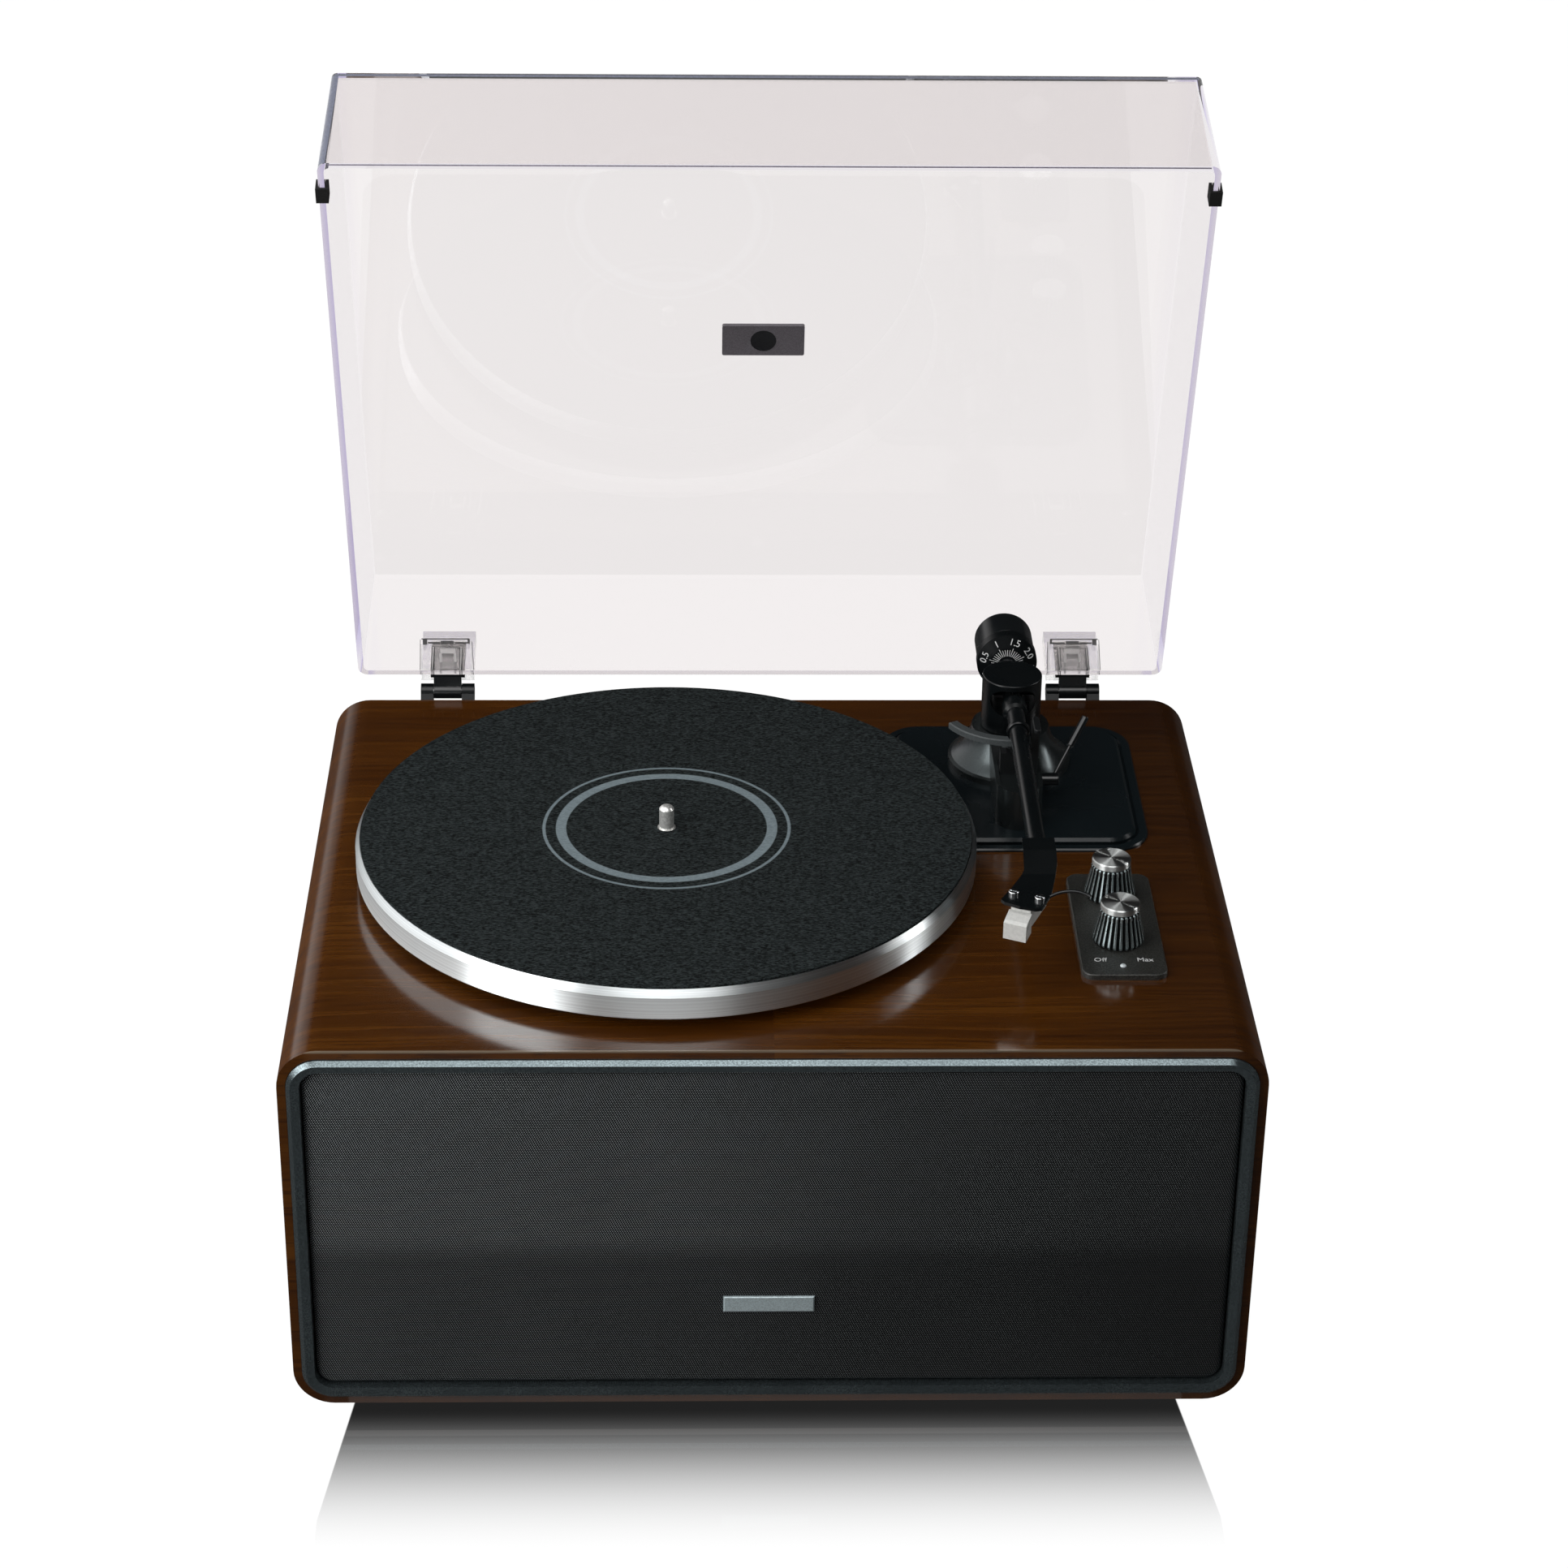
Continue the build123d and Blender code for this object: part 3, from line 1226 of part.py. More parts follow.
# ---------------------------------------------------------------- turret, the part that swings
turret_bottom = base_neck_height + turret_lift
turret_top = arm_height + turret_head
with BuildPart() as arm_turret:
    with BuildSketch(deck(turret_bottom)):
        with Locations((pivot_x, arm_y)):
            Circle(turret_radius)
    extrude(amount=turret_top - turret_bottom)
    fillet(arm_turret.edges().group_by(Axis.Z)[-1], radius=0.9)
    with BuildSketch(Plane(origin=(pivot_x, arm_y, arm_z), x_dir=(1, 0, 0), z_dir=(0, -1, 0))):
        SlotOverall(turret_slot_width, turret_slot_height)
    extrude(amount=turret_radius + 2, both=True, mode=Mode.SUBTRACT)
    with BuildSketch(sideways(pivot_x, arm_y, arm_z)):
        Circle(axle_radius + running_gap)
    extrude(amount=turret_radius + 2, both=True, mode=Mode.SUBTRACT)
    with BuildSketch(deck(base_neck_height - turret_post_length)):
        with Locations((pivot_x, arm_y)):
            Circle(turret_post_radius)
    extrude(amount=turret_post_length + turret_lift)
arm_turret.part.label = "arm_turret"
export_step(arm_turret.part, "parts/arm_turret.step")

# ---------------------------------------------------------------- the part that tilts
arm_axis = Axis((pivot_x, arm_y, arm_z), (0, 1, 0))
with BuildPart() as arm_hub:
    with BuildSketch(along_y(pivot_x, arm_y, arm_z, forward=True)):
        with BuildLine():
            Polyline(
                (-stub_end, 0), (-stub_end, stub_radius), (-turret_radius + 2, stub_radius),
                (-turret_radius + 3, arm_hub_radius), (arm_hub_nose_start - 1, arm_hub_radius),
                (arm_hub_nose_start, arm_hub_nose_radius), (tube_start + 2, arm_hub_nose_radius),
                (tube_start + 3, tube_radius + seat_gap), (tube_start - 4, tube_radius + seat_gap),
                (tube_start - 4, 0), close=True,
            )
        make_face()
    revolve(axis=arm_axis)
    with BuildSketch(sideways(pivot_x, arm_y, arm_z)):
        Circle(axle_radius)
    extrude(amount=axle_side, both=True)
arm_hub.part.label = "arm_hub"
export_step(arm_hub.part, "parts/arm_hub.step")

with BuildPart() as arm_tube:
    with BuildSketch(along_y(pivot_x, arm_y, arm_z, forward=True)):
        with BuildLine():
            Polyline(
                (tube_start - 4, tube_radius - tube_wall), (tube_start - 4, tube_radius),
                (tube_collar_at, tube_radius), (tube_collar_at, tube_collar_radius - 0.5),
                (tube_collar_at + 0.5, tube_collar_radius),
                (tube_collar_at + tube_collar_width - 0.5, tube_collar_radius),
                (tube_collar_at + tube_collar_width, tube_collar_radius - 0.5),
                (tube_collar_at + tube_collar_width, tube_radius), (tube_end, tube_radius),
                (tube_end, tube_radius - tube_wall), close=True,
            )
        make_face()
    revolve(axis=arm_axis)
arm_tube.part.label = "arm_tube"
export_step(arm_tube.part, "parts/arm_tube.step")

with BuildPart() as counterweight:
    weight_start = dial_start + dial_length + part_gap
    with BuildSketch(along_y(pivot_x, arm_y, arm_z)):
        with BuildLine():
            Polyline(
                (weight_start, stub_radius + running_gap), (weight_start, weight_radius - 1.2),
                (weight_start + 1, weight_radius), (weight_start + weight_length - 1.2, weight_radius),
                (weight_start + weight_length, weight_radius - 1.2), (weight_start + weight_length, 0),
                (stub_end + part_gap, 0), (stub_end + part_gap, stub_radius + running_gap), close=True,
            )
        make_face()
    revolve(axis=arm_axis)
counterweight.part.label = "counterweight"
export_step(counterweight.part, "parts/counterweight.step")

with BuildPart() as counterweight_dial:
    with BuildSketch(along_y(pivot_x, arm_y, arm_z)):
        with BuildLine():
            Polyline(
                (dial_start, stub_radius + running_gap), (dial_start, dial_face_radius),
                (dial_start + dial_face_depth, dial_radius), (dial_start + dial_length, dial_radius),
                (dial_start + dial_length, stub_radius + running_gap), close=True,
            )
        make_face()
    revolve(axis=arm_axis)
counterweight_dial.part.label = "counterweight_dial"
export_step(counterweight_dial.part, "parts/counterweight_dial.step")

# ---------------------------------------------------------------- headshell, cartridge and stylus
shell_lift = tube_radius + part_gap        # underside of the shell's rear above the arm's axis
shell_end_y = arm_y - tube_end
turn = radians(offset_angle)
ahead = (-sin(turn), -cos(turn))           # level direction the cartridge points in
aside = (cos(turn), -sin(turn))            # level direction to its right
stylus_x = pivot_x + stylus_side
front_face = cartridge_body_length     # stylus block's front ahead of the screws
stylus_ahead = 9.5                     # stylus ahead of the screws
stylus_y = arm_y - (effective_length ** 2 - stylus_side ** 2) ** 0.5
mount_x = stylus_x - ahead[0] * stylus_ahead     # middle of the two screws
mount_y = stylus_y - ahead[1] * stylus_ahead


def head_point(forward, right):
    """Level point measured from the middle of the cartridge screws."""
    return (mount_x + ahead[0] * forward + aside[0] * right,
            mount_y + ahead[1] * forward + aside[1] * right)


shell_half = shell_rear_width / 2
shell_span = 3 * cartridge_flange      # wider than the head on either side
shell_front = arm_y - stylus_y + front_face + cartridge_screw_head
screw_places = [head_point(0, -cartridge_screw_pitch / 2), head_point(0, cartridge_screw_pitch / 2)]
with BuildPart() as headshell:
    with BuildSketch(Plane(origin=(pivot_x, arm_y, arm_z), x_dir=(0, -1, 0), z_dir=(-1, 0, 0))):
        with BuildLine():
            slope_from = tube_end + shell_slope_start
            slope_to = tube_end + shell_slope_end
            half = shell_sheet / 2
            Polyline(
                (tube_end - shell_tube_cover, shell_lift), (slope_from, shell_lift),
                (slope_to, -half), (shell_front, -half), (shell_front, half), (slope_to + 0.6, half),
                (slope_from + 0.6, shell_lift + shell_sheet),
                (tube_end - shell_tube_cover, shell_lift + shell_sheet), close=True,
            )
        make_face()
    extrude(amount=shell_span, both=True)
    with BuildSketch(Plane.XY.offset(arm_z - 20)):
        with BuildLine():
            Polyline(
                (pivot_x - shell_half, shell_end_y + shell_tube_cover + 1),
                (pivot_x + shell_half, shell_end_y + shell_tube_cover + 1),
                (pivot_x + shell_half, shell_end_y - 10), head_point(-7, 9.6), head_point(7, 10.0),
                head_point(8.6, 7.5), head_point(9.4, 0), head_point(8.6, -7.5), head_point(7, -10.0),
                head_point(-6.5, -9.0), (pivot_x - shell_half - 0.6, shell_end_y - 14), close=True,
            )
        make_face()
    extrude(amount=40, mode=Mode.INTERSECT)
    with BuildSketch(Plane.XY.offset(arm_z - 20)):
        with Locations(*screw_places):
            Circle(cartridge_screw_radius + seat_gap)
    extrude(amount=40, mode=Mode.SUBTRACT)
    neck_y = shell_end_y - shell_slope_start
    shell_neck = Plane(origin=(pivot_x, neck_y, arm_z), x_dir=(-1, 0, 0), z_dir=(0, 1, 0))
    with BuildSketch(shell_neck):
        Circle(tube_radius - tube_wall - seat_gap)
    extrude(amount=shell_slope_start + shell_tube_cover)
    with BuildSketch(shell_neck):
        with Locations((0, (shell_lift - tube_radius + 1) / 2)):
            Rectangle(2 * tube_radius, shell_lift + tube_radius)
    extrude(amount=shell_slope_start - part_gap)
headshell.part.label = "headshell"
export_step(headshell.part, "parts/headshell.step")

shell_bottom = arm_z - shell_sheet / 2
shell_top = arm_z + shell_sheet / 2
flange_low = shell_bottom - cartridge_top_height

with BuildPart() as headshell_screws:
    for place in screw_places:
        with BuildSketch(Plane(origin=(*place, shell_top))):
            Circle(cartridge_screw_head)
        extrude(amount=1.6)
        with BuildSketch(Plane(origin=(*place, shell_top))):
            Circle(cartridge_screw_radius)
        extrude(amount=-shell_sheet - cartridge_top_height)
        with BuildSketch(Plane(origin=(*place, shell_top + 1.6), x_dir=(*aside, 0))):
            Rectangle(5, 0.7)
        extrude(amount=-0.8, mode=Mode.SUBTRACT)
    fillet(headshell_screws.edges().filter_by(GeomType.CIRCLE).group_by(Axis.Z)[-1], radius=0.4)
headshell_screws.part.label = "headshell_screws"
export_step(headshell_screws.part, "parts/headshell_screws.step")

finger_root = head_point(-5, 9.2)
finger_start = Vector(finger_root[0], finger_root[1], arm_z)
finger_mid = finger_start + Vector(finger_reach * 0.5, 1.6, 2.2)
finger_tip = finger_start + Vector(finger_reach, -1.6, 1.2)
with BuildPart() as finger_lift:
    with BuildLine() as finger_path:
        ThreePointArc(finger_start, finger_mid, finger_tip)
    with BuildSketch(Plane(origin=finger_start, z_dir=finger_path.line % 0)):
        Circle(finger_radius)
    sweep(path=finger_path.line)
    add(headshell.part, mode=Mode.SUBTRACT)
finger_lift.part.label = "finger_lift"
export_step(finger_lift.part, "parts/finger_lift.step")


def head_plane(forward, right, z):
    """Level plane at a point of the head, its x to the cartridge's right."""
    point = head_point(forward, right)
    return Plane(origin=(*point, z), x_dir=(*aside, 0), z_dir=(0, 0, 1))


body_top = flange_low
body_low = body_top - cartridge_body_height
with BuildPart() as cartridge:
    with BuildSketch(head_plane(0, 0, shell_bottom)):
        Rectangle(cartridge_flange, 7)
        with Locations((-cartridge_screw_pitch / 2, 0), (cartridge_screw_pitch / 2, 0)):
            Circle(cartridge_screw_radius + seat_gap, mode=Mode.SUBTRACT)
    extrude(amount=-cartridge_top_height)
    with BuildSketch(head_plane(0, 0, shell_bottom)):
        Rectangle(cartridge_body_width - 1.5, cartridge_body_length)
        with Locations((-cartridge_screw_pitch / 2, 0), (cartridge_screw_pitch / 2, 0)):
            Circle(cartridge_screw_radius + seat_gap, mode=Mode.SUBTRACT)
    extrude(amount=-cartridge_top_height - cartridge_body_height + 2)
cartridge.part.label = "cartridge"
export_step(cartridge.part, "parts/cartridge.step")

stylus_z = arm_z - stylus_drop
block_back = cartridge_body_length / 2 + part_gap / 3
with BuildPart() as stylus:
    stylus_side_plane = Plane(origin=(*head_point(0, -cartridge_body_width / 2), 0), x_dir=(*ahead, 0),
                              z_dir=(-aside[0], -aside[1], 0))
    with BuildSketch(stylus_side_plane):
        with BuildLine():
            Polyline(
                (block_back, shell_bottom - 2.2), (front_face - 1.6, shell_bottom - 4.4),
                (front_face, shell_bottom - 5.4), (front_face, stylus_z + 2.0), (block_back, stylus_z + 3.2),
                close=True,
            )
        make_face()
    extrude(amount=-cartridge_body_width)
    with BuildSketch(head_plane(stylus_ahead, 0, stylus_z)):
        Circle(0.25)
    extrude(amount=4)
stylus.part.label = "stylus"
export_step(stylus.part, "parts/stylus.step")

# ================================================================ cover and hinges
lid_plane = Plane(origin=(0, hinge_y, hinge_z), x_dir=(1, 0, 0), z_dir=(0, sin(opening), cos(opening)))
lid_middle = -hinge_to_lid - lid_length / 2
lid_rise = Vector(0, sin(opening), cos(opening))


def lid_level(height):
    """Plane parallel to the cover's top, at a height above the hinge axis of the shut cover."""
    return lid_plane.offset(height)


def lid_section(x):
    """Plane across the cover at x: its x runs to the back of the shut cover, its y upwards."""
    return Plane(origin=(x, hinge_y, hinge_z), x_dir=(0, cos(opening), -sin(opening)), z_dir=(1, 0, 0))


with BuildPart() as dust_cover:
    with BuildSketch(lid_level(lid_lift)):
        with Locations((0, lid_middle)):
            RectangleRounded(lid_width, lid_length, lid_corner)
    extrude(amount=lid_depth, taper=lid_draft)
    fillet(dust_cover.faces().sort_by(Axis((0, 0, 0), tuple(lid_rise)))[-1].edges(), radius=lid_edge_round)
    with BuildSketch(lid_level(lid_lift)):
        with Locations((0, lid_middle)):
            RectangleRounded(lid_width - 2 * lid_wall, lid_length - 2 * lid_wall,
                             lid_corner - lid_wall + 0.6)
    extrude(amount=lid_depth - lid_wall, taper=lid_draft, mode=Mode.SUBTRACT)
dust_cover.part.label = "dust_cover"
export_step(dust_cover.part, "parts/dust_cover.step")

bumper_y = lid_middle - lid_length / 2 + bumper_from_front
with BuildPart() as lid_bumpers:
    with BuildSketch(lid_level(lid_lift - bumper_wall)):
        for side in (-1, 1):
            with Locations((side * (lid_width / 2 - lid_wall / 2), bumper_y)):
                Rectangle(lid_wall + 2 * bumper_wall, bumper_length)
    extrude(amount=bumper_height)
    add(dust_cover.part, mode=Mode.SUBTRACT)
lid_bumpers.part.label = "lid_bumpers"
export_step(lid_bumpers.part, "parts/lid_bumpers.step")

with BuildPart() as lid_badge:
    with BuildSketch(lid_level(lid_lift + lid_depth)):
        with Locations((0, lid_middle)):
            RectangleRounded(lid_badge_width, lid_badge_height, 1.0)
    extrude(amount=lid_badge_thickness)
    with BuildSketch(lid_level(lid_lift + lid_depth + lid_badge_thickness)):
        with Locations((0, lid_middle)):
            Circle(lid_badge_pin)
    extrude(amount=0.6)
lid_badge.part.label = "lid_badge"
export_step(lid_badge.part, "parts/lid_badge.step")

tongue_mid = -(hinge_to_lid + socket_outer) / 2
with BuildPart() as hinge_sockets:
    for side in (-1, 1):
        with BuildSketch(lid_level(socket_bottom)):
            with Locations((side * hinge_x, -(hinge_to_lid + 1 + socket_outer) / 2)):
                Rectangle(hinge_width, hinge_to_lid + 1 - socket_outer)
        extrude(amount=socket_length)
        with BuildSketch(lid_level(socket_bottom)):
            with Locations((side * hinge_x, tongue_mid)):
                Rectangle(tongue_width + 2 * socket_slot_gap, tongue_thickness + 2 * socket_slot_gap)
        extrude(amount=tongue_length - socket_bottom + 2, mode=Mode.SUBTRACT)
    add(dust_cover.part, mode=Mode.SUBTRACT)
hinge_sockets.part.label = "hinge_sockets"
export_step(hinge_sockets.part, "parts/hinge_sockets.step")

leaf_half = hinge_width / 2 - knuckle_length - part_gap
with BuildPart() as hinge_leaves:
    for side in (-1, 1):
        centre = side * hinge_x
        with BuildSketch(lid_section(centre - leaf_half)):
            Circle(knuckle_radius)
            with BuildLine():
                Polyline((tongue_mid - tongue_thickness / 2, 2.6), (tongue_mid + tongue_thickness / 2, 4.4),
                         (-1.0, 3.6), (0, 0), (-3.6, -0.6), close=True)
            make_face()
            Circle(hinge_pin_radius + running_gap, mode=Mode.SUBTRACT)
        extrude(amount=2 * leaf_half)
        with BuildSketch(lid_level(2.6)):
            with Locations((centre, tongue_mid)):
                Rectangle(2 * leaf_half, tongue_thickness)
        extrude(amount=3)
        with BuildSketch(lid_level(4.6)):
            with Locations((centre, tongue_mid)):
                Rectangle(tongue_width, tongue_thickness)
        extrude(amount=tongue_length - 4.6)
hinge_leaves.part.label = "hinge_leaves"
export_step(hinge_leaves.part, "parts/hinge_leaves.step")

bracket_edge = -hinge_behind + bracket_thickness


def hinge_section(x):
    """Plane across a hinge at x: its x runs to the back, its y upwards from the hinge axis."""
    return Plane(origin=(x, hinge_y, hinge_z), x_dir=(0, 1, 0), z_dir=(1, 0, 0))


with BuildPart() as hinge_brackets:
    for side in (-1, 1):
        centre = side * hinge_x
        for start in (centre - hinge_width / 2, centre + hinge_width / 2 - knuckle_length):
            with BuildSketch(hinge_section(start)):
                Circle(knuckle_radius)
                with BuildLine():
                    Polyline((-hinge_behind, -bracket_top), (-hinge_behind, -bracket_top - 6),
                             (bracket_edge, -bracket_top - 6), (3.6, -1.6), (0, 0), (-3.6, 1.0), close=True)
                make_face()
                Circle(hinge_pin_radius + seat_gap, mode=Mode.SUBTRACT)
            extrude(amount=knuckle_length)
        with BuildSketch(hinge_section(centre - hinge_width / 2)):
            with BuildLine():
                Polyline((-hinge_behind, -bracket_top), (-hinge_behind, -bracket_top - bracket_length),
                         (bracket_edge, -bracket_top - bracket_length), (bracket_edge, -bracket_top),
                         close=True)
            make_face()
        extrude(amount=hinge_width)
hinge_brackets.part.label = "hinge_brackets"
export_step(hinge_brackets.part, "parts/hinge_brackets.step")

with BuildPart() as hinge_pins:
    for side in (-1, 1):
        with BuildSketch(hinge_section(side * hinge_x - hinge_width / 2)):
            Circle(hinge_pin_radius)
        extrude(amount=hinge_width)
hinge_pins.part.label = "hinge_pins"
export_step(hinge_pins.part, "parts/hinge_pins.step")

print("cabinet_y", round(cabinet_y, 4), "deck_z", deck_z, "hinge", round(hinge_y, 4), hinge_z)
print("stylus", round(stylus_x, 3), round(stylus_y, 3), round(stylus_z, 3))
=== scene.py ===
from math import atan2, cos, pi, radians, sin

import bmesh
import bpy
from mathutils import Matrix, Vector


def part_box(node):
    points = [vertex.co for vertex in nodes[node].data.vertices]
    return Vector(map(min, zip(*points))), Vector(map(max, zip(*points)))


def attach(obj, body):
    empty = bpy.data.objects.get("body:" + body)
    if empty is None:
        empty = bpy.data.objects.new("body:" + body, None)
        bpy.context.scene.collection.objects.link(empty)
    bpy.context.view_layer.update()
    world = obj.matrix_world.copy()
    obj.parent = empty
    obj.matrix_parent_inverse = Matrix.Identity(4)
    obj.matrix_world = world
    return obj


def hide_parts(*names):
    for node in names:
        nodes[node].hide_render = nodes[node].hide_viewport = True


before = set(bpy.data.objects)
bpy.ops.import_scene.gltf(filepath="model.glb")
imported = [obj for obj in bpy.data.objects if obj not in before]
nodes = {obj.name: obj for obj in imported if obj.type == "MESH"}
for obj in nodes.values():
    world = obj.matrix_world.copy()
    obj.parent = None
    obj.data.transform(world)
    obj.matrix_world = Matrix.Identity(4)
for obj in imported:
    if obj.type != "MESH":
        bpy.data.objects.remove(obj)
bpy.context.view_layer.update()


class Wire:
    # a shader socket: sums and comparisons written with it add their own Math nodes
    def __init__(self, owner, socket):
        self.owner = owner
        self.socket = socket

    def math(self, operation, *others):
        return self.owner.add("ShaderNodeMath", {"operation": operation}, dict(enumerate((self, *others))))

    def __add__(self, other):
        return self.math("ADD", other)

    def __sub__(self, other):
        return self.math("SUBTRACT", other)

    def __rsub__(self, other):
        return self.owner.add("ShaderNodeMath", {"operation": "SUBTRACT"}, {0: other, 1: self})

    def __mul__(self, other):
        return self.math("MULTIPLY", other)

    def __truediv__(self, other):
        return self.math("DIVIDE", other)

    def __pow__(self, other):
        return self.math("POWER", other)

    def __neg__(self):
        return self.math("MULTIPLY", -1.0)

    def __gt__(self, other):
        return self.math("GREATER_THAN", other)

    def __lt__(self, other):
        return self.math("LESS_THAN", other)

    __radd__ = __add__
    __rmul__ = __mul__

    def size(self):
        return self.math("ABSOLUTE")

    def cosine(self):
        return self.math("COSINE")

    def angleFrom(self, other):
        return self.math("ARCTAN2", other)

    def atLeast(self, other):
        return self.math("MAXIMUM", other)

    def atMost(self, other):
        return self.math("MINIMUM", other)

    def ramp(self, low, high, toLow=0.0, toHigh=1.0):
        settings = {"interpolation_type": "SMOOTHSTEP"}
        return self.owner.add("ShaderNodeMapRange", settings, {0: self, 1: low, 2: high, 3: toLow, 4: toHigh})


class Tree:
    def __init__(self, tree, coordinates="Object"):
        self.tree = tree
        self.place = self.add("ShaderNodeTexCoord", out=coordinates)

    def add(self, kind, settings=None, inputs=None, out=0):
        node = self.tree.nodes.new(kind)
        for key, value in (settings or {}).items():
            setattr(node, key, value)
        for key, value in (inputs or {}).items():
            self.feed(node.inputs[key], value)
        return Wire(self, node.outputs[out])

    def feed(self, socket, value):
        if isinstance(value, Wire):
            self.tree.links.new(value.socket, socket)
        elif socket.type == "RGBA" and len(value) == 3:
            socket.default_value = (*value, 1.0)
        else:
            socket.default_value = value

    def axes(self):
        parts = self.add("ShaderNodeSeparateXYZ", inputs={0: self.place}).socket.node
        return [Wire(self, output) for output in parts.outputs]

    def vector(self, x, y, z):
        return self.add("ShaderNodeCombineXYZ", inputs={0: x, 1: y, 2: z})

    def noise(self, scale, detail=3.0, rough=0.5, at=None):
        values = {"Vector": at or self.place, "Scale": scale, "Detail": detail, "Roughness": rough}
        return self.add("ShaderNodeTexNoise", None, values)

    def mix(self, factor, first, second):
        return self.add("ShaderNodeMix", {"data_type": "RGBA"}, {0: factor, 6: first, 7: second}, out=2)

    def path(self, *outputs):
        seen = self.add("ShaderNodeLightPath").socket.node
        return [Wire(self, seen.outputs[name]) for name in outputs]

    def mirrored(self):
        # 1 where a ray comes from a glossy surface, and not by way of clear plastic
        glossy, through, sharp = self.path("Glossy Depth", "Transmission Depth", "Is Singular Ray")
        return (glossy > 0.5) * (through < 0.5) * (1.0 - sharp)

    def scattered(self):
        return self.path("Diffuse Depth")[0] > 0.5


class Look(Tree):
    def __init__(self, name):
        self.material = bpy.data.materials.new(name)
        self.material.use_nodes = True
        super().__init__(self.material.node_tree)
        self.shader = self.tree.nodes["Principled BSDF"]

    def output(self, shader, socket="Surface"):
        target = next(node for node in self.tree.nodes if node.type == "OUTPUT_MATERIAL")
        self.tree.links.new(shader.socket, target.inputs[socket])

    def bump(self, height, strength, distance):
        values = {"Height": height, "Strength": strength, "Distance": distance}
        return self.add("ShaderNodeBump", None, values)

    def set(self, **sockets):
        for key, value in sockets.items():
            self.feed(self.shader.inputs[key.replace("_", " ")], value)
        return self.material


def centreOf(name):
    low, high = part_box(name)
    return (low + high) / 2


# a colour made lighter or darker
def times(colour, amount, more=0.0):
    return tuple(min(1.0, part * amount + more) for part in colour)


# distance from an upright axis
def awayFrom(point, x, y):
    return ((x - point.x) ** 2.0 + (y - point.y) ** 2.0) ** 0.5


cabinetLow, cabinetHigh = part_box("cabinet_shell")
deckTop = cabinetHigh.z
frontY = cabinetLow.y
hubPoint = centreOf("spindle")
volumePoint = centreOf("volume_shaft")
selectorPoint = centreOf("selector_shaft")

# the camera stands in front, a little to the left, and looks down on the deck
view = {"lens": 88.27, "sensor": 36.0, "reach": 50.0, "place": (-0.0412, -1.6651, 1.1362), "yaw": 0.030,
        "pitch": 0.500, "roll": 0.014}


def makeCamera():
    yaw, pitch, roll = view["yaw"], view["pitch"], view["roll"]
    forward = Vector((sin(yaw) * cos(pitch), cos(yaw) * cos(pitch), -sin(pitch)))
    level = Vector((cos(yaw), -sin(yaw), 0.0))
    upright = level.cross(forward)
    right = level * cos(roll) + upright * sin(roll)
    up = -level * sin(roll) + upright * cos(roll)
    data = bpy.data.cameras.new("camera")
    data.lens = view["lens"]
    data.sensor_width = view["sensor"]
    data.clip_end = view["reach"]
    camera = bpy.data.objects.new("camera", data)
    turn = Matrix((right, up, -forward)).transposed().to_4x4()
    camera.matrix_world = Matrix.Translation(view["place"]) @ turn
    bpy.context.scene.collection.objects.link(camera)
    bpy.context.scene.camera = camera


makeCamera()
print("camera placed")

# walnut veneer: the grain runs across the deck and follows the bend down both sides
# broad, fine and pore hold how fast they change along, across and down, then their detail and roughness
# a shade holds where it starts, where it is full, and its least and most
walnut = {"dark": (0.018, 0.0046, 0.0004), "mid": (0.056, 0.0162, 0.0006), "light": (0.115, 0.0385, 0.0030),
          "lipHighlight": (0.26, 0.20, 0.14), "rough": (0.41, 0.54), "coat": 1.0, "coatRough": 0.13, "bentCoat": 0.35,
          "halfWidth": 0.224, "bend": 0.019, "broad": (2.2, 34.0, 3.0, 3.0, 0.5),
          "fine": (7.0, 320.0, 60.0, 6.0, 0.65), "pore": (30.0, 1100.0, 400.0, 3.0, 0.6),
          "paintedBackShade": (0.06, 0.34, 0.0, 0.50), "paintedRightShade": (0.11, 0.20, 0.0, 0.40), "bump": (0.16, 0.0003)}


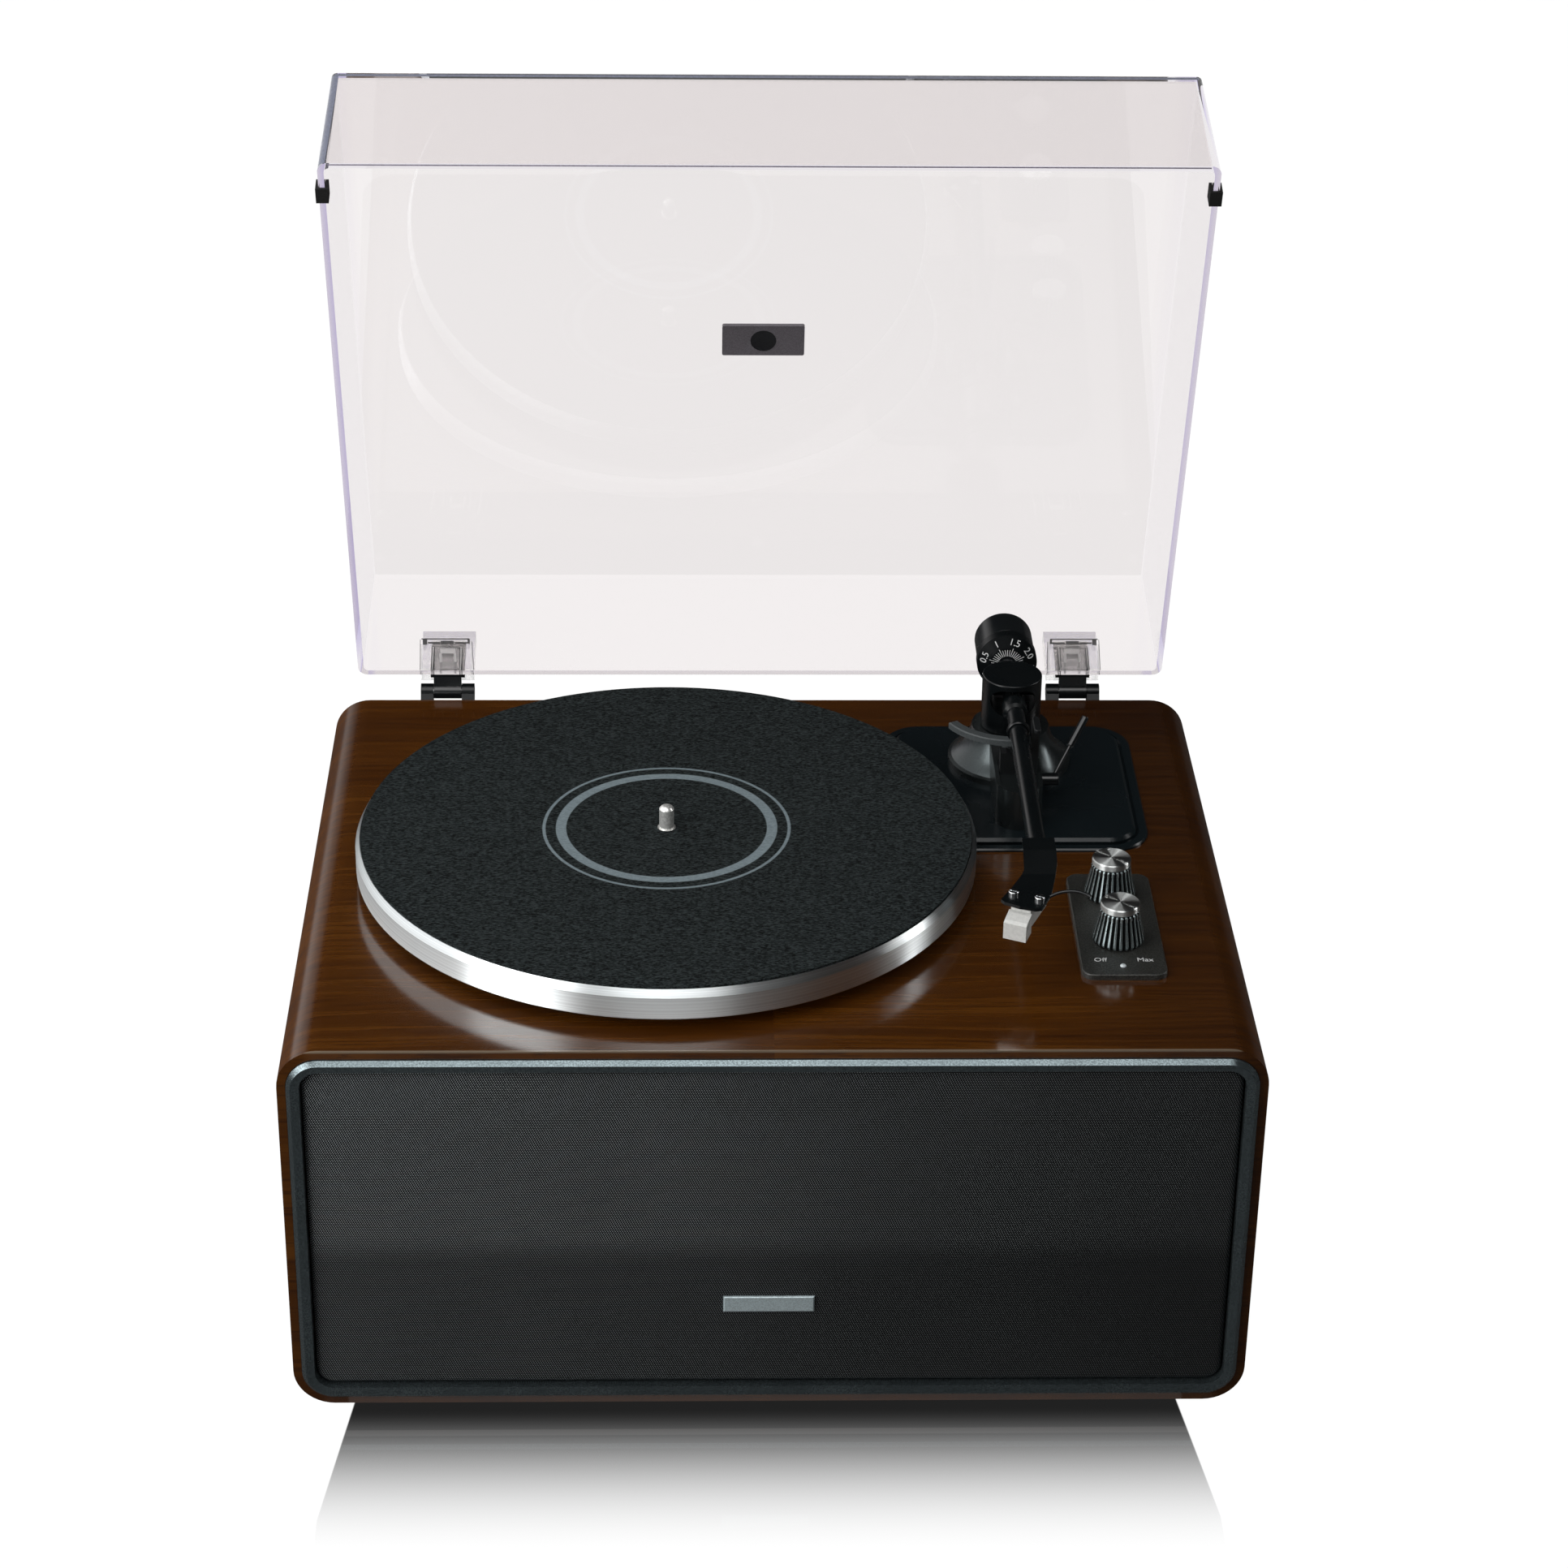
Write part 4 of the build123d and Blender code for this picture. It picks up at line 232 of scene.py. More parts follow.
def walnutLook():
    look = Look("walnutVeneer")
    x, y, z = look.axes()
    flat = walnut["halfWidth"] - walnut["bend"]
    over = (x.size() - flat).atLeast(0.0)
    rise = z - (deckTop - walnut["bend"])
    around = over.angleFrom(rise.atLeast(0.00001))
    along = x.size().atMost(flat) + around * walnut["bend"] + (-rise).atLeast(0.0)
    side = (x > 0.0) * 0.7  # the right half has grain of its own
    lane = y + look.noise(5.0, 2.0, at=look.vector(along, y * 3.0, side)) * 0.02

    def layer(lengthwise, crosswise, down, detail, rough):
        spot = look.vector(along * lengthwise + side, lane * crosswise, z * down)
        return look.noise(1.0, detail, rough, at=spot)

    broad, fine, pore = (layer(*walnut[name]) for name in ("broad", "fine", "pore"))
    tone = broad.ramp(0.20, 0.82) * 0.35 + fine.ramp(0.15, 0.87) * 0.65
    colour = look.mix(tone.ramp(0.0, 0.60), walnut["dark"], walnut["mid"])
    colour = look.mix(tone.ramp(0.40, 1.05), colour, walnut["light"])
    colour = look.mix(pore.ramp(0.52, 0.66) * 0.65, colour, walnut["dark"])
    # painted shade: the veneer is coloured darker towards the back and towards the right
    colour = look.mix((x + y).ramp(*walnut["paintedBackShade"]), colour, times(walnut["dark"], 0.25))
    colour = look.mix(x.ramp(*walnut["paintedRightShade"]), colour, times(walnut["dark"], 0.25))
    # painted highlight: a pale line where the deck meets the front ring
    lipHighlight = (1.0 - (y - frontY).ramp(0.0006, 0.0013)) * z.ramp(deckTop - 0.0012, deckTop - 0.0004)
    colour = look.mix(lipHighlight * 0.8, colour, walnut["lipHighlight"])
    coat = over.ramp(0.002, 0.008, walnut["coat"], walnut["bentCoat"])  # the bend shines less than the deck
    return look.set(Base_Color=colour, Roughness=fine.ramp(0.2, 0.8, *walnut["rough"]), Coat_Weight=coat,
                    Coat_IOR=1.7, Coat_Roughness=walnut["coatRough"], Specular_IOR_Level=0.04,
                    Normal=look.bump(fine * 0.5 + pore * 0.5, *walnut["bump"]))


# painted, moulded and plated parts: grain is the scale of the fine bumps, flake the contrast between them
paints = {
    "bezelPaint": {"colour": (0.082, 0.101, 0.107), "rough": 0.27, "grain": 1400.0, "bumps": 0.25,
                   "metal": 0.85, "level": 0.5, "flake": 0.5},
    "badgeMetal": {"colour": (0.46, 0.54, 0.56), "rough": 0.30, "grain": 1500.0, "metal": 0.2, "level": 0.5},
    "badgeGrey": {"colour": (0.230, 0.222, 0.242), "rough": 0.35, "grain": 1500.0},
    "satinBlack": {"colour": (0.0011, 0.0019, 0.0023), "rough": 0.26, "grain": 2600.0, "bumps": 0.03,
                   "level": 0.24},
    "glossBlack": {"colour": (0.0036, 0.0046, 0.0052), "rough": 0.20, "grain": 1800.0, "bumps": 0.01,
                   "level": 0.38},
    "mattBlack": {"colour": (0.0035, 0.0042, 0.0046), "rough": 0.45, "grain": 2200.0, "bumps": 0.12,
                  "level": 0.25},
    "plateBlack": {"colour": (0.0032, 0.0056, 0.0068), "rough": 0.25, "grain": 1800.0, "bumps": 0.04},
    "baseBlack": {"colour": (0.030, 0.036, 0.037), "rough": 0.24, "grain": 2600.0, "bumps": 0.03,
                  "metal": 0.8, "level": 0.5},
    "wrinkleBlack": {"colour": (0.0105, 0.0105, 0.0093), "rough": 0.42, "grain": 1300.0, "bumps": 1.0,
                     "level": 0.45, "flake": 2.8},
    "rubberBlack": {"colour": (0.010, 0.010, 0.010), "rough": 0.6, "grain": 1200.0, "bumps": 0.2},
    "darkBoard": {"colour": (0.012, 0.0115, 0.011), "rough": 0.6, "grain": 700.0, "bumps": 0.3},
    "coneGrey": {"colour": (0.02, 0.02, 0.021), "rough": 0.7, "bumps": 0.4, "level": 0.2},
    "plateGrey": {"colour": (0.060, 0.068, 0.070), "rough": 0.5, "grain": 1500.0, "bumps": 0.2},
    "boardGreen": {"colour": (0.01, 0.06, 0.03), "rough": 0.4, "grain": 800.0, "bumps": 0.1, "level": 0.4},
    "creamPlastic": {"colour": (0.80, 0.80, 0.77), "rough": 0.30, "grain": 700.0, "bumps": 0.02,
                     "level": 0.5, "flake": -0.2},
    "lensPale": {"colour": (0.62, 0.74, 0.80), "rough": 0.15, "grain": 1500.0, "level": 0.6, "flake": 0.3},
    "platedBrass": {"colour": (0.62, 0.44, 0.16), "rough": 0.25, "bumps": 0.03, "metal": 1.0, "level": 0.5},
    "plainSteel": {"colour": (0.42, 0.42, 0.43), "rough": 0.35, "metal": 1.0, "level": 0.5},
    "spindleSteel": {"colour": (0.66, 0.66, 0.64), "rough": 0.30, "bumps": 0.02, "metal": 0.55, "level": 0.5},
    "chrome": {"colour": (0.72, 0.73, 0.74), "rough": 0.09, "bumps": 0.01, "metal": 1.0, "level": 0.5},
    "whitePrint": {"colour": (0.80, 0.82, 0.82), "rough": 0.5, "bumps": 0.02},
    "edgeShadeTint": {"colour": (0.130, 0.150, 0.235), "rough": 0.25, "grain": 700.0, "bumps": 0.02, "level": 0.5},
    "rimHighlight": {"colour": (0.38, 0.35, 0.44), "rough": 0.25, "grain": 700.0, "bumps": 0.02, "level": 0.5},
    "lineDark": {"colour": (0.010, 0.010, 0.011), "rough": 0.3, "bumps": 0.02, "level": 0.5},
    "lineHighlight": {"colour": (0.96, 0.96, 0.97), "rough": 0.3, "bumps": 0.02, "level": 0.5, "flake": -0.2,
                 "alpha": 0.45},
}


def paintLook(name, colour, rough, grain=900.0, bumps=0.05, metal=0.0, level=0.3, flake=0.0, alpha=1.0):
    look = Look(name)
    speck = look.noise(grain, 2.0)
    wear = look.noise(35.0, 3.0)
    darker, lighter = times(colour, 0.85 - flake * 0.3), times(colour, 1.25 + flake, 0.002)
    base = look.mix(speck.ramp(0.35, 0.65) * 0.7 + wear * 0.3, darker, lighter)
    return look.set(Base_Color=base, Roughness=wear.ramp(0.3, 0.7, rough - 0.04, rough + 0.05),
                    Metallic=metal, Specular_IOR_Level=level, Alpha=alpha,
                    Normal=look.bump(speck, bumps, 0.0002))


# woven speaker cloth, with painted shade below a level line and towards the right
cloth = {"pitch": 0.00113, "row": 0.00086, "lean": 0.66, "dark": (0.0010, 0.0013, 0.0014),
         "light": (0.56, 0.61, 0.62), "rough": 0.55, "sag": 0.0016, "shadeSplit": 0.098, "low": 0.50,
         "paintedRightShade": (-0.26, 0.26, 0.0, 0.68), "bump": (0.5, 0.0004)}


def clothLook():
    look = Look("speakerCloth")
    x, _, z = look.axes()
    sag = look.noise(9.0, 2.0) * cloth["sag"]
    across = (x - z * (cloth["lean"] * cloth["pitch"] / cloth["row"]) + sag) * (2 * pi / cloth["pitch"])
    down = (z + sag) * (2 * pi / cloth["row"])
    dots = (across.cosine() + down.cosine() + (across + down).cosine()) / 3.0
    height = dots.ramp(-0.30, 1.0) * 0.75 + look.noise(1500.0, 2.0) * 0.25
    colour = look.mix(height.ramp(0.20, 0.90), cloth["dark"], cloth["light"])
    patches = 1.0 - look.noise(7.0, 2.0).ramp(0.3, 0.7) * 0.2
    # painted shade: the cloth is coloured darker below a level line and towards the right, besides its random
    # patches
    lower = 1.0 - z.ramp(cloth["shadeSplit"] - 0.012, cloth["shadeSplit"] + 0.006)
    patchesAndShade = patches * (1.0 - lower * cloth["low"]) * (1.0 - x.ramp(*cloth["paintedRightShade"]))
    colour = look.mix(1.0 - patchesAndShade, colour, cloth["dark"])
    return look.set(Base_Color=colour, Roughness=cloth["rough"], Specular_IOR_Level=0.2,
                    Normal=look.bump(height, *cloth["bump"]))


# felt mat with two printed rings, each from an inner to an outer radius
felt = {"dark": (0.0008, 0.0010, 0.0011), "light": (0.046, 0.057, 0.058), "print": (0.30, 0.37, 0.40),
        "rings": ((0.0485, 0.0535), (0.0585, 0.0600)), "blur": 0.0003, "bump": (0.8, 0.0005)}


def feltLook():
    look = Look("feltMat")
    x, y, z = look.axes()
    away = awayFrom(hubPoint, x, y)
    fibre = look.noise(1250.0, 2.0, 0.6, at=look.vector(x * 0.5, y * 1.5, z))
    tone = fibre * 0.88 + look.noise(620.0, 3.0, 0.6) * 0.12
    colour = look.mix(tone.ramp(0.37, 0.67), felt["dark"], felt["light"])
    blur = felt["blur"]
    ink = 0.0
    for inner, outer in felt["rings"]:
        ink = ink + away.ramp(inner - blur, inner + blur) * (1.0 - away.ramp(outer - blur, outer + blur))
    printed = look.mix(tone.ramp(0.35, 0.65), times(felt["print"], 0.75), felt["print"])
    colour = look.mix(ink * 0.93, colour, printed)
    return look.set(Base_Color=colour, Roughness=0.95, Specular_IOR_Level=0.08,
                    Normal=look.bump(tone, *felt["bump"]))


# turned metal: fine grooves around the axis, which stretch the reflections
caps = {"colour": (0.62, 0.64, 0.63), "rough": (0.32, 0.40), "groove": 0.00014, "bump": (0.1, 0.0002)}
platterRim = {"colour": (0.86, 0.90, 0.91), "rough": (0.36, 0.39), "groove": 0.00055, "bump": (0.5, 0.00003)}


def capLook(name, axisPoint):
    look = Look(name)
    x, y, z = look.axes()
    cuts = 1.0 / caps["groove"]
    line = look.noise(1.0, 4.0, 0.7, at=look.vector(awayFrom(axisPoint, x, y) * cuts, z * cuts, 0.0))
    base = look.mix(line, times(caps["colour"], 0.88), caps["colour"])
    return look.set(Base_Color=base, Metallic=1.0, Roughness=look.noise(18.0).ramp(0.3, 0.7, *caps["rough"]),
                    Anisotropic=1.0, Anisotropic_Rotation=0.25, Normal=look.bump(line, *caps["bump"]))


def platterLook():
    look = Look("platterMetal")
    x, y, z = look.axes()
    cuts = 1.0 / platterRim["groove"]
    line = look.noise(1.0, 2.0, 0.6, at=look.vector(awayFrom(hubPoint, x, y) * cuts, z * cuts, 0.0))
    base = look.mix(line.ramp(0.3, 0.7), times(platterRim["colour"], 0.82), platterRim["colour"])
    rough = look.noise(14.0).ramp(0.3, 0.7, *platterRim["rough"])
    return look.set(Base_Color=base, Metallic=1.0, Roughness=rough, Anisotropic=1.0,
                    Anisotropic_Rotation=0.25, Normal=look.bump(line, *platterRim["bump"]))


# knob sides: lands between the flutes painted bright as highlights, and the flutes painted dark as shade
flutes = {"count": 26, "dark": (0.003, 0.004, 0.004), "light": (0.36, 0.43, 0.44), "metal": 0.85,
          "rough": (0.24, 0.30), "bump": (0.6, 0.0004)}


def flutedLook(name, axisPoint):
    look = Look(name)
    x, y, _ = look.axes()
    around = (y - axisPoint.y).angleFrom(x - axisPoint.x)
    landHighlight = 1.0 - (around * float(flutes["count"])).cosine().ramp(-0.75, 0.35)
    wear = look.noise(60.0)
    base = look.mix(landHighlight * (0.8 + wear * 0.2), flutes["dark"], flutes["light"])
    return look.set(Base_Color=base, Metallic=flutes["metal"], Normal=look.bump(landHighlight, *flutes["bump"]),
                    Roughness=wear.ramp(0.3, 0.7, *flutes["rough"]))


# clear plastic: glass to the eye, and plain see-through to shadows and to light that has bounced
# thinness is how far it is plain see-through to the eye as well
clears = {
    "clearAcrylic": {"tint": (0.905, 0.875, 0.858), "ghost": (0.93, 0.92, 0.91), "thinness": 0.0,
                     "absorb": {"Color": (0.30, 0.20, 0.80), "Density": 9.0}},
    "clearPart": {"tint": (0.97, 0.97, 0.97), "ghost": (0.95, 0.95, 0.95), "thinness": 0.7, "absorb": None},
}


def clearLook(name, tint, ghost, thinness, absorb):
    look = Look(name)
    x, _, z = look.axes()
    # the tint turns a little darker towards the top and the right, with some random blotches
    tintDarkening = look.noise(3.0, 2.0) * 0.3 + (z + x * 0.45).ramp(0.32, 0.62) * 0.7
    base = look.mix(tintDarkening, times(tint, 1.008), times(tint, 0.955))
    look.set(Base_Color=base, Roughness=0.0, IOR=1.49, Transmission_Weight=1.0)
    glossy, diffuse, shadow = look.path("Glossy Depth", "Is Diffuse Ray", "Is Shadow Ray")
    passing = (glossy > 0.5).atLeast(diffuse).atLeast(shadow).atLeast(thinness)
    solid = Wire(look, look.shader.outputs["BSDF"])
    thin = look.add("ShaderNodeBsdfTransparent", None, {"Color": ghost})
    look.output(look.add("ShaderNodeMixShader", None, {0: passing, 1: solid, 2: thin}))
    if absorb:
        look.output(look.add("ShaderNodeVolumeAbsorption", None, absorb), "Volume")
    return look.material


looks = {name: paintLook(name, **facts) for name, facts in paints.items()}
looks.update({name: clearLook(name, **facts) for name, facts in clears.items()})
looks.update({
    "walnutVeneer": walnutLook(),
    "speakerCloth": clothLook(),
    "feltMat": feltLook(),
    "platterMetal": platterLook(),
    "volumeCapMetal": capLook("volumeCapMetal", volumePoint),
    "selectorCapMetal": capLook("selectorCapMetal", selectorPoint),
    "volumeKnobBlack": flutedLook("volumeKnobBlack", volumePoint),
    "selectorKnobBlack": flutedLook("selectorKnobBlack", selectorPoint),
})

# which nodes wear each finish
finishes = {
    "walnutVeneer": ("cabinet_shell",), "bezelPaint": ("front_bezel",), "badgeMetal": ("grille_badge",),
    "speakerCloth": ("grille_cloth",), "darkBoard": ("baffle_board", "rear_panel"),
    "mattBlack": ("grille_frame", "tweeters", "bass_port", "terminal_plate", "arm_rest", "arm_rest_lock"),
    "satinBlack": ("woofer_baskets", "arm_turret", "arm_hub", "arm_tube", "headshell", "counterweight_dial",
                   "hinge_brackets"),
    "glossBlack": ("aux_socket", "dc_socket", "power_rocker", "cue_lever", "finger_lift", "counterweight",
                   "hinge_leaves"),
    "plainSteel": ("woofer_magnets", "cabinet_screws", "bearing_housing", "motor", "volume_control",
                   "volume_shaft", "selector_switch", "selector_shaft", "hinge_pins"),
    "rubberBlack": ("cabinet_feet", "drive_belt", "lid_bumpers"), "coneGrey": ("woofer_cones",),
    "platedBrass": ("rca_sockets", "motor_pulley"), "boardGreen": ("main_board",),
    "platterMetal": ("platter",), "spindleSteel": ("spindle",), "feltMat": ("slipmat",),
    "plateBlack": ("tonearm_plate",), "baseBlack": ("tonearm_base",), "plateGrey": ("lift_platform",),
    "chrome": ("headshell_screws",), "creamPlastic": ("cartridge", "stylus"),
    "wrinkleBlack": ("control_plate",), "lensPale": ("indicator_lens",),
    "volumeKnobBlack": ("volume_knob",), "volumeCapMetal": ("volume_knob_cap",),
    "selectorKnobBlack": ("selector_knob",), "selectorCapMetal": ("selector_knob_cap",),
    "clearAcrylic": ("dust_cover",), "clearPart": ("hinge_sockets",), "badgeGrey": ("lid_badge",),
}
for finish, wearers in finishes.items():
    for wearer in wearers:
        nodes[wearer].data.materials.clear()
        nodes[wearer].data.materials.append(looks[finish])
print("finishes set on", sum(len(wearers) for wearers in finishes.values()), "nodes")


def finishPiece(name, data, body, finish):
    data.materials.clear()
    data.materials.append(looks[finish])
    piece = bpy.data.objects.new(name, data)
    bpy.context.scene.collection.objects.link(piece)
    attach(piece, body)
    return piece


def meshPiece(name, shape, body, finish):
    data = bpy.data.meshes.new(name)
    shape.to_mesh(data)
    shape.free()
    return finishPiece(name, data, body, finish)


lettering = {"thick": 0.00006, "curveSteps": 3}


def wordPiece(name, words, height, place, body):
    curve = bpy.data.curves.new(name + "Curve", "FONT")
    curve.body = words
    curve.size = height
    curve.align_x = "CENTER"
    curve.align_y = "CENTER"
    curve.extrude = lettering["thick"]
    curve.resolution_u = lettering["curveSteps"]
    holder = bpy.data.objects.new(name + "Curve", curve)
    bpy.context.scene.collection.objects.link(holder)
    data = bpy.data.meshes.new_from_object(holder.evaluated_get(bpy.context.evaluated_depsgraph_get()))
    bpy.data.objects.remove(holder)
    data.transform(place)
    finishPiece(name, data, body, "whitePrint")


# words at the two ends of the volume knob's travel, a drop in front of the knob
marks = {"height": 0.0046, "drop": 0.0187, "lift": 0.00002,
         "words": (("offMark", "Off", -0.0102), ("maxMark", "Max", 0.0108))}


def makeMarks():
    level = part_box("control_plate")[1].z + marks["lift"]
    for name, words, shift in marks["words"]:
        spot = Vector((volumePoint.x + shift, volumePoint.y - marks["drop"], level))
        wordPiece(name, words, marks["height"], Matrix.Translation(spot), "cabinet_body")


# ticks on the dial's flat face, from an inner to an outer radius, and numbers on the cone around it
dial = {"zero": 208.0, "ticks": 40, "longEvery": 5, "longer": 0.0012, "inner": 0.0048, "outer": 0.0084,
        "tickWide": 0.00034, "lift": 0.00004, "step": 45.0, "radius": 0.0122, "height": 0.0050,
        "numbers": ("0", "0.5", "1", "1.5", "2.0", "2.5", "3.0", "3.5"),
        "coneDrop": 0.0026, "coneFrom": 0.009, "coneTo": 0.0154}
dialCentre = centreOf("counterweight_dial")
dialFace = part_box("counterweight_dial")[0].y


def makeTicks():
    shape = bmesh.new()
    face = Matrix.Translation((dialCentre.x, dialFace, dialCentre.z))
    for step in range(dial["ticks"]):
        outer = dial["outer"] + (dial["longer"] if step % dial["longEvery"] == 0 else 0.0)
        turn = Matrix.Rotation(-radians(dial["zero"] - step * 360.0 / dial["ticks"]), 4, "Y")
        middle = Matrix.Translation(((dial["inner"] + outer) / 2, 0.0, 0.0))
        spread = Matrix.Diagonal((outer - dial["inner"], 2 * dial["lift"], dial["tickWide"], 1.0))
        bmesh.ops.create_cube(shape, size=1.0, matrix=face @ turn @ middle @ spread)
    meshPiece("dialTicks", shape, "dial_body", "whitePrint")


def makeNumbers():
    coneRun = dial["coneTo"] - dial["coneFrom"]
    back = (dial["radius"] - dial["coneFrom"]) * dial["coneDrop"] / coneRun
    slope = Matrix.Rotation(-atan2(dial["coneDrop"], coneRun), 4, "X")
    upright = Matrix.Rotation(radians(90), 4, "X")
    tip = Matrix.Translation((0, 0, dial["radius"])) @ slope @ upright
    base = Matrix.Translation((dialCentre.x, dialFace + back - dial["lift"], dialCentre.z))
    for index, words in enumerate(dial["numbers"]):
        turn = Matrix.Rotation(radians(90.0 - dial["zero"] + index * dial["step"]), 4, "Y")
        wordPiece("dialNumber" + str(index), words, dial["height"], base @ turn @ tip, "dial_body")


makeMarks()
makeTicks()
makeNumbers()
print("printed marks made")

# front ring: outer bevel, ridge and an inner slope down to the cloth
# a point of the profile is an inset from the cabinet's outline and a depth behind the ridge
bezel = {"corner": 0.019, "steps": 10, "ridge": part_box("front_bezel")[0].y,
         "profile": ((0.0042, 0.0150), (0.0042, 0.0021), (0.0058, 0.0004), (0.0062, 0.0), (0.0066, 0.0001),
                     (0.0082, 0.0006), (0.0102, 0.0012), (0.0102, 0.0150))}


def bezelLoop(shape, inset, depth):
    middle = (cabinetLow + cabinetHigh) / 2
    wide = cabinetHigh.x - middle.x - bezel["corner"]
    high = cabinetHigh.z - middle.z - bezel["corner"]
    radius = bezel["corner"] - inset
    verts = []
    for quarter, (sideX, sideZ) in enumerate(((1, 1), (-1, 1), (-1, -1), (1, -1))):
        for step in range(bezel["steps"] + 1):
            angle = radians(90.0 * (quarter + step / bezel["steps"]))
            x = middle.x + sideX * wide + cos(angle) * radius
            z = middle.z + sideZ * high + sin(angle) * radius
            verts.append(shape.verts.new((x, bezel["ridge"] + depth, z)))
    return [shape.edges.new(pair) for pair in zip(verts, verts[1:] + verts[:1])]


def makeBezel():
    shape = bmesh.new()
    loops = [bezelLoop(shape, inset, depth) for inset, depth in bezel["profile"]]
    for first, second in zip(loops, loops[1:] + loops[:1]):
        bmesh.ops.bridge_loops(shape, edges=first + second)
    bmesh.ops.recalc_face_normals(shape, faces=shape.faces)
    for face in shape.faces:
        face.smooth = True
    for edge in sum(loops, []):
        edge.smooth = False  # smooth round the corners, crisp across the profile
    piece = meshPiece("bezelRing", shape, "cabinet_body", "bezelPaint")
    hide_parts("front_bezel")


# the bare badge on the cloth, with a hollow edge around its front
badge = {"x": -0.0012, "z": 0.0641, "wide": 0.0425, "high": 0.0086, "thick": 0.0012, "hollow": 0.0006}


def makeBadge():
    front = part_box("grille_badge")[0].y
    shape = bmesh.new()
    spot = Matrix.Translation((badge["x"], front + badge["thick"] / 2, badge["z"]))
    size = Matrix.Diagonal((badge["wide"], badge["thick"], badge["high"], 1.0))
    bmesh.ops.create_cube(shape, size=1.0, matrix=spot @ size)
    rim = [edge for edge in shape.edges if all(vert.co.y < front + 0.0001 for vert in edge.verts)]
    bmesh.ops.bevel(shape, geom=rim, affect="EDGES", offset=badge["hollow"], segments=3, profile=0.0,
                    material=-1)
    piece = meshPiece("badgeBar", shape, "cabinet_body", "badgeMetal")
    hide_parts("grille_badge")


makeBezel()
makeBadge()
print("bezel and badge made")

# the cover in its own frame: x across, y from the hinge (0) towards the front (below 0), z from rim to top
cover = {"open": radians(73.5), "hinge": (0.0, cabinetHigh.y + 0.0085, deckTop + 0.001), "halfWide": 0.2115,
         "front": 0.338, "rim": 0.002, "depth": 0.076, "draft": radians(1.5), "corner": 0.005}
coverTop = cover["rim"] + cover["depth"]
coverTaper = cover["depth"] * sin(cover["draft"])


def coverSheet(name, outlines, finish):
    lean = cover["open"]
    turn = Matrix(((1, 0, 0), (0, cos(lean), sin(lean)), (0, -sin(lean), cos(lean)))).to_4x4()
    place = Matrix.Translation(cover["hinge"]) @ turn
    shape = bmesh.new()
    for outline in outlines:
        shape.faces.new([shape.verts.new(place @ Vector(corner)) for corner in outline])
    meshPiece(name, shape, "cover_body", finish)


# painted shade and highlight: coloured strips inside the plastic, round the left front corner and along the
# top's front edge, paint the shade its edges show, and a pale strip under the rim paints a highlight
strips = {"inside": 0.0003, "turn": 75, "step": 15, "foot": 0.0006, "head": 0.0012, "skin": 0.0006,
          "ends": 0.0018, "from": 0.0030, "to": 0.0010, "rimWide": 0.0008, "rimDrop": 0.00006}


def cornerPoint(angle, level):
    # on the left front corner, angle from the left side towards the front
    taper = (level - cover["rim"]) * sin(cover["draft"])
    radius = cover["corner"]
    reach = radius - strips["inside"]
    return (-(cover["halfWide"] - taper - radius) - reach * cos(radians(angle)),
            -(cover["front"] - taper - radius) - reach * sin(radians(angle)), level)


def band(wide, y, z, farY, farZ):
    return ((-wide, y, z), (wide, y, z), (wide, farY, farZ), (-wide, farY, farZ))


def makeCoverEdges():
    low, high = cover["rim"] + strips["foot"], coverTop - strips["head"]
    angles = range(0, strips["turn"] + 1, strips["step"])
    shadedEdges = [(cornerPoint(a, low), cornerPoint(b, low), cornerPoint(b, high), cornerPoint(a, high))
              for a, b in zip(angles, angles[1:])]
    wide = cover["halfWide"] - coverTaper - strips["ends"]
    y = -(cover["front"] - coverTaper - strips["skin"])
    shadedEdges.append(band(wide, y, coverTop - strips["from"], y, coverTop - strips["to"]))
    coverSheet("coverEdges", shadedEdges, "edgeShadeTint")
    wide = cover["halfWide"] - cover["corner"]
    y = -(cover["front"] - strips["skin"])
    z = cover["rim"] - strips["rimDrop"]
    coverSheet("coverRim", [band(wide, y, z, y + strips["rimWide"], z)], "rimHighlight")


# a plain disc on the cover's badge
disc = {"radius": 0.0066, "y": -0.174, "below": 0.0001, "sides": 24}


def makeDisc():
    angles = [2 * pi * side / disc["sides"] for side in range(disc["sides"])]
    z = coverTop - disc["below"]
    outline = [(disc["radius"] * cos(a), disc["y"] + disc["radius"] * sin(a), z) for a in angles]
    coverSheet("coverBadgeDisc", [outline], "lineDark")


# lines of the clear hinge sockets: steps, lugs, ribs and posts, as bars in millimetres; they stand for real
# parts, drawn as the painted shade (dark bars) and painted highlights (pale bars) that these show through the
# clear plastic
# the bars were worked out by another program for one view, so they lean the way they look from there
# a bar has its height, left and right at the upper end, and the same at the lower end
socket = {"x": 0.165, "wall": -0.01306, "gap": 0.00004, "scale": 0.001}
socketDark = {
    "topLine": ((26.3, -10.9, 14.5), (25.4, -10.9, 14.5)),
    "leftStep": ((23.5, -11.1, -3.2), (22.3, -11.1, -3.3)),
    "middleStep": ((24.5, -2.6, 4.4), (22.2, -2.8, 4.3)),
    "rightStep": ((23.5, 4.6, 11.1), (22.3, 4.5, 11.0)),
    "leftLug": ((25.9, -11.0, -9.8), (22.2, -11.3, -10.1)),
    "rightLug": ((25.9, 11.5, 13.8), (21.4, 11.2, 13.5)),
    "leftRibOuter": ((19.1, -7.6, -7.2), (2.2, -7.7, -7.3)),
    "leftRibInner": ((19.6, -6.3, -5.9), (4.3, -6.7, -6.3)),
    "rightRibInner": ((19.6, 7.1, 7.5), (2.2, 7.1, 7.5)),
    "rightRibOuter": ((19.6, 8.4, 8.8), (2.8, 8.1, 8.5)),
    "rightSide": ((25.5, 14.9, 15.2), (2.2, 13.9, 14.2)),
    "leftSide": ((23.9, -12.4, -12.1), (2.2, -14.2, -13.9)),
}
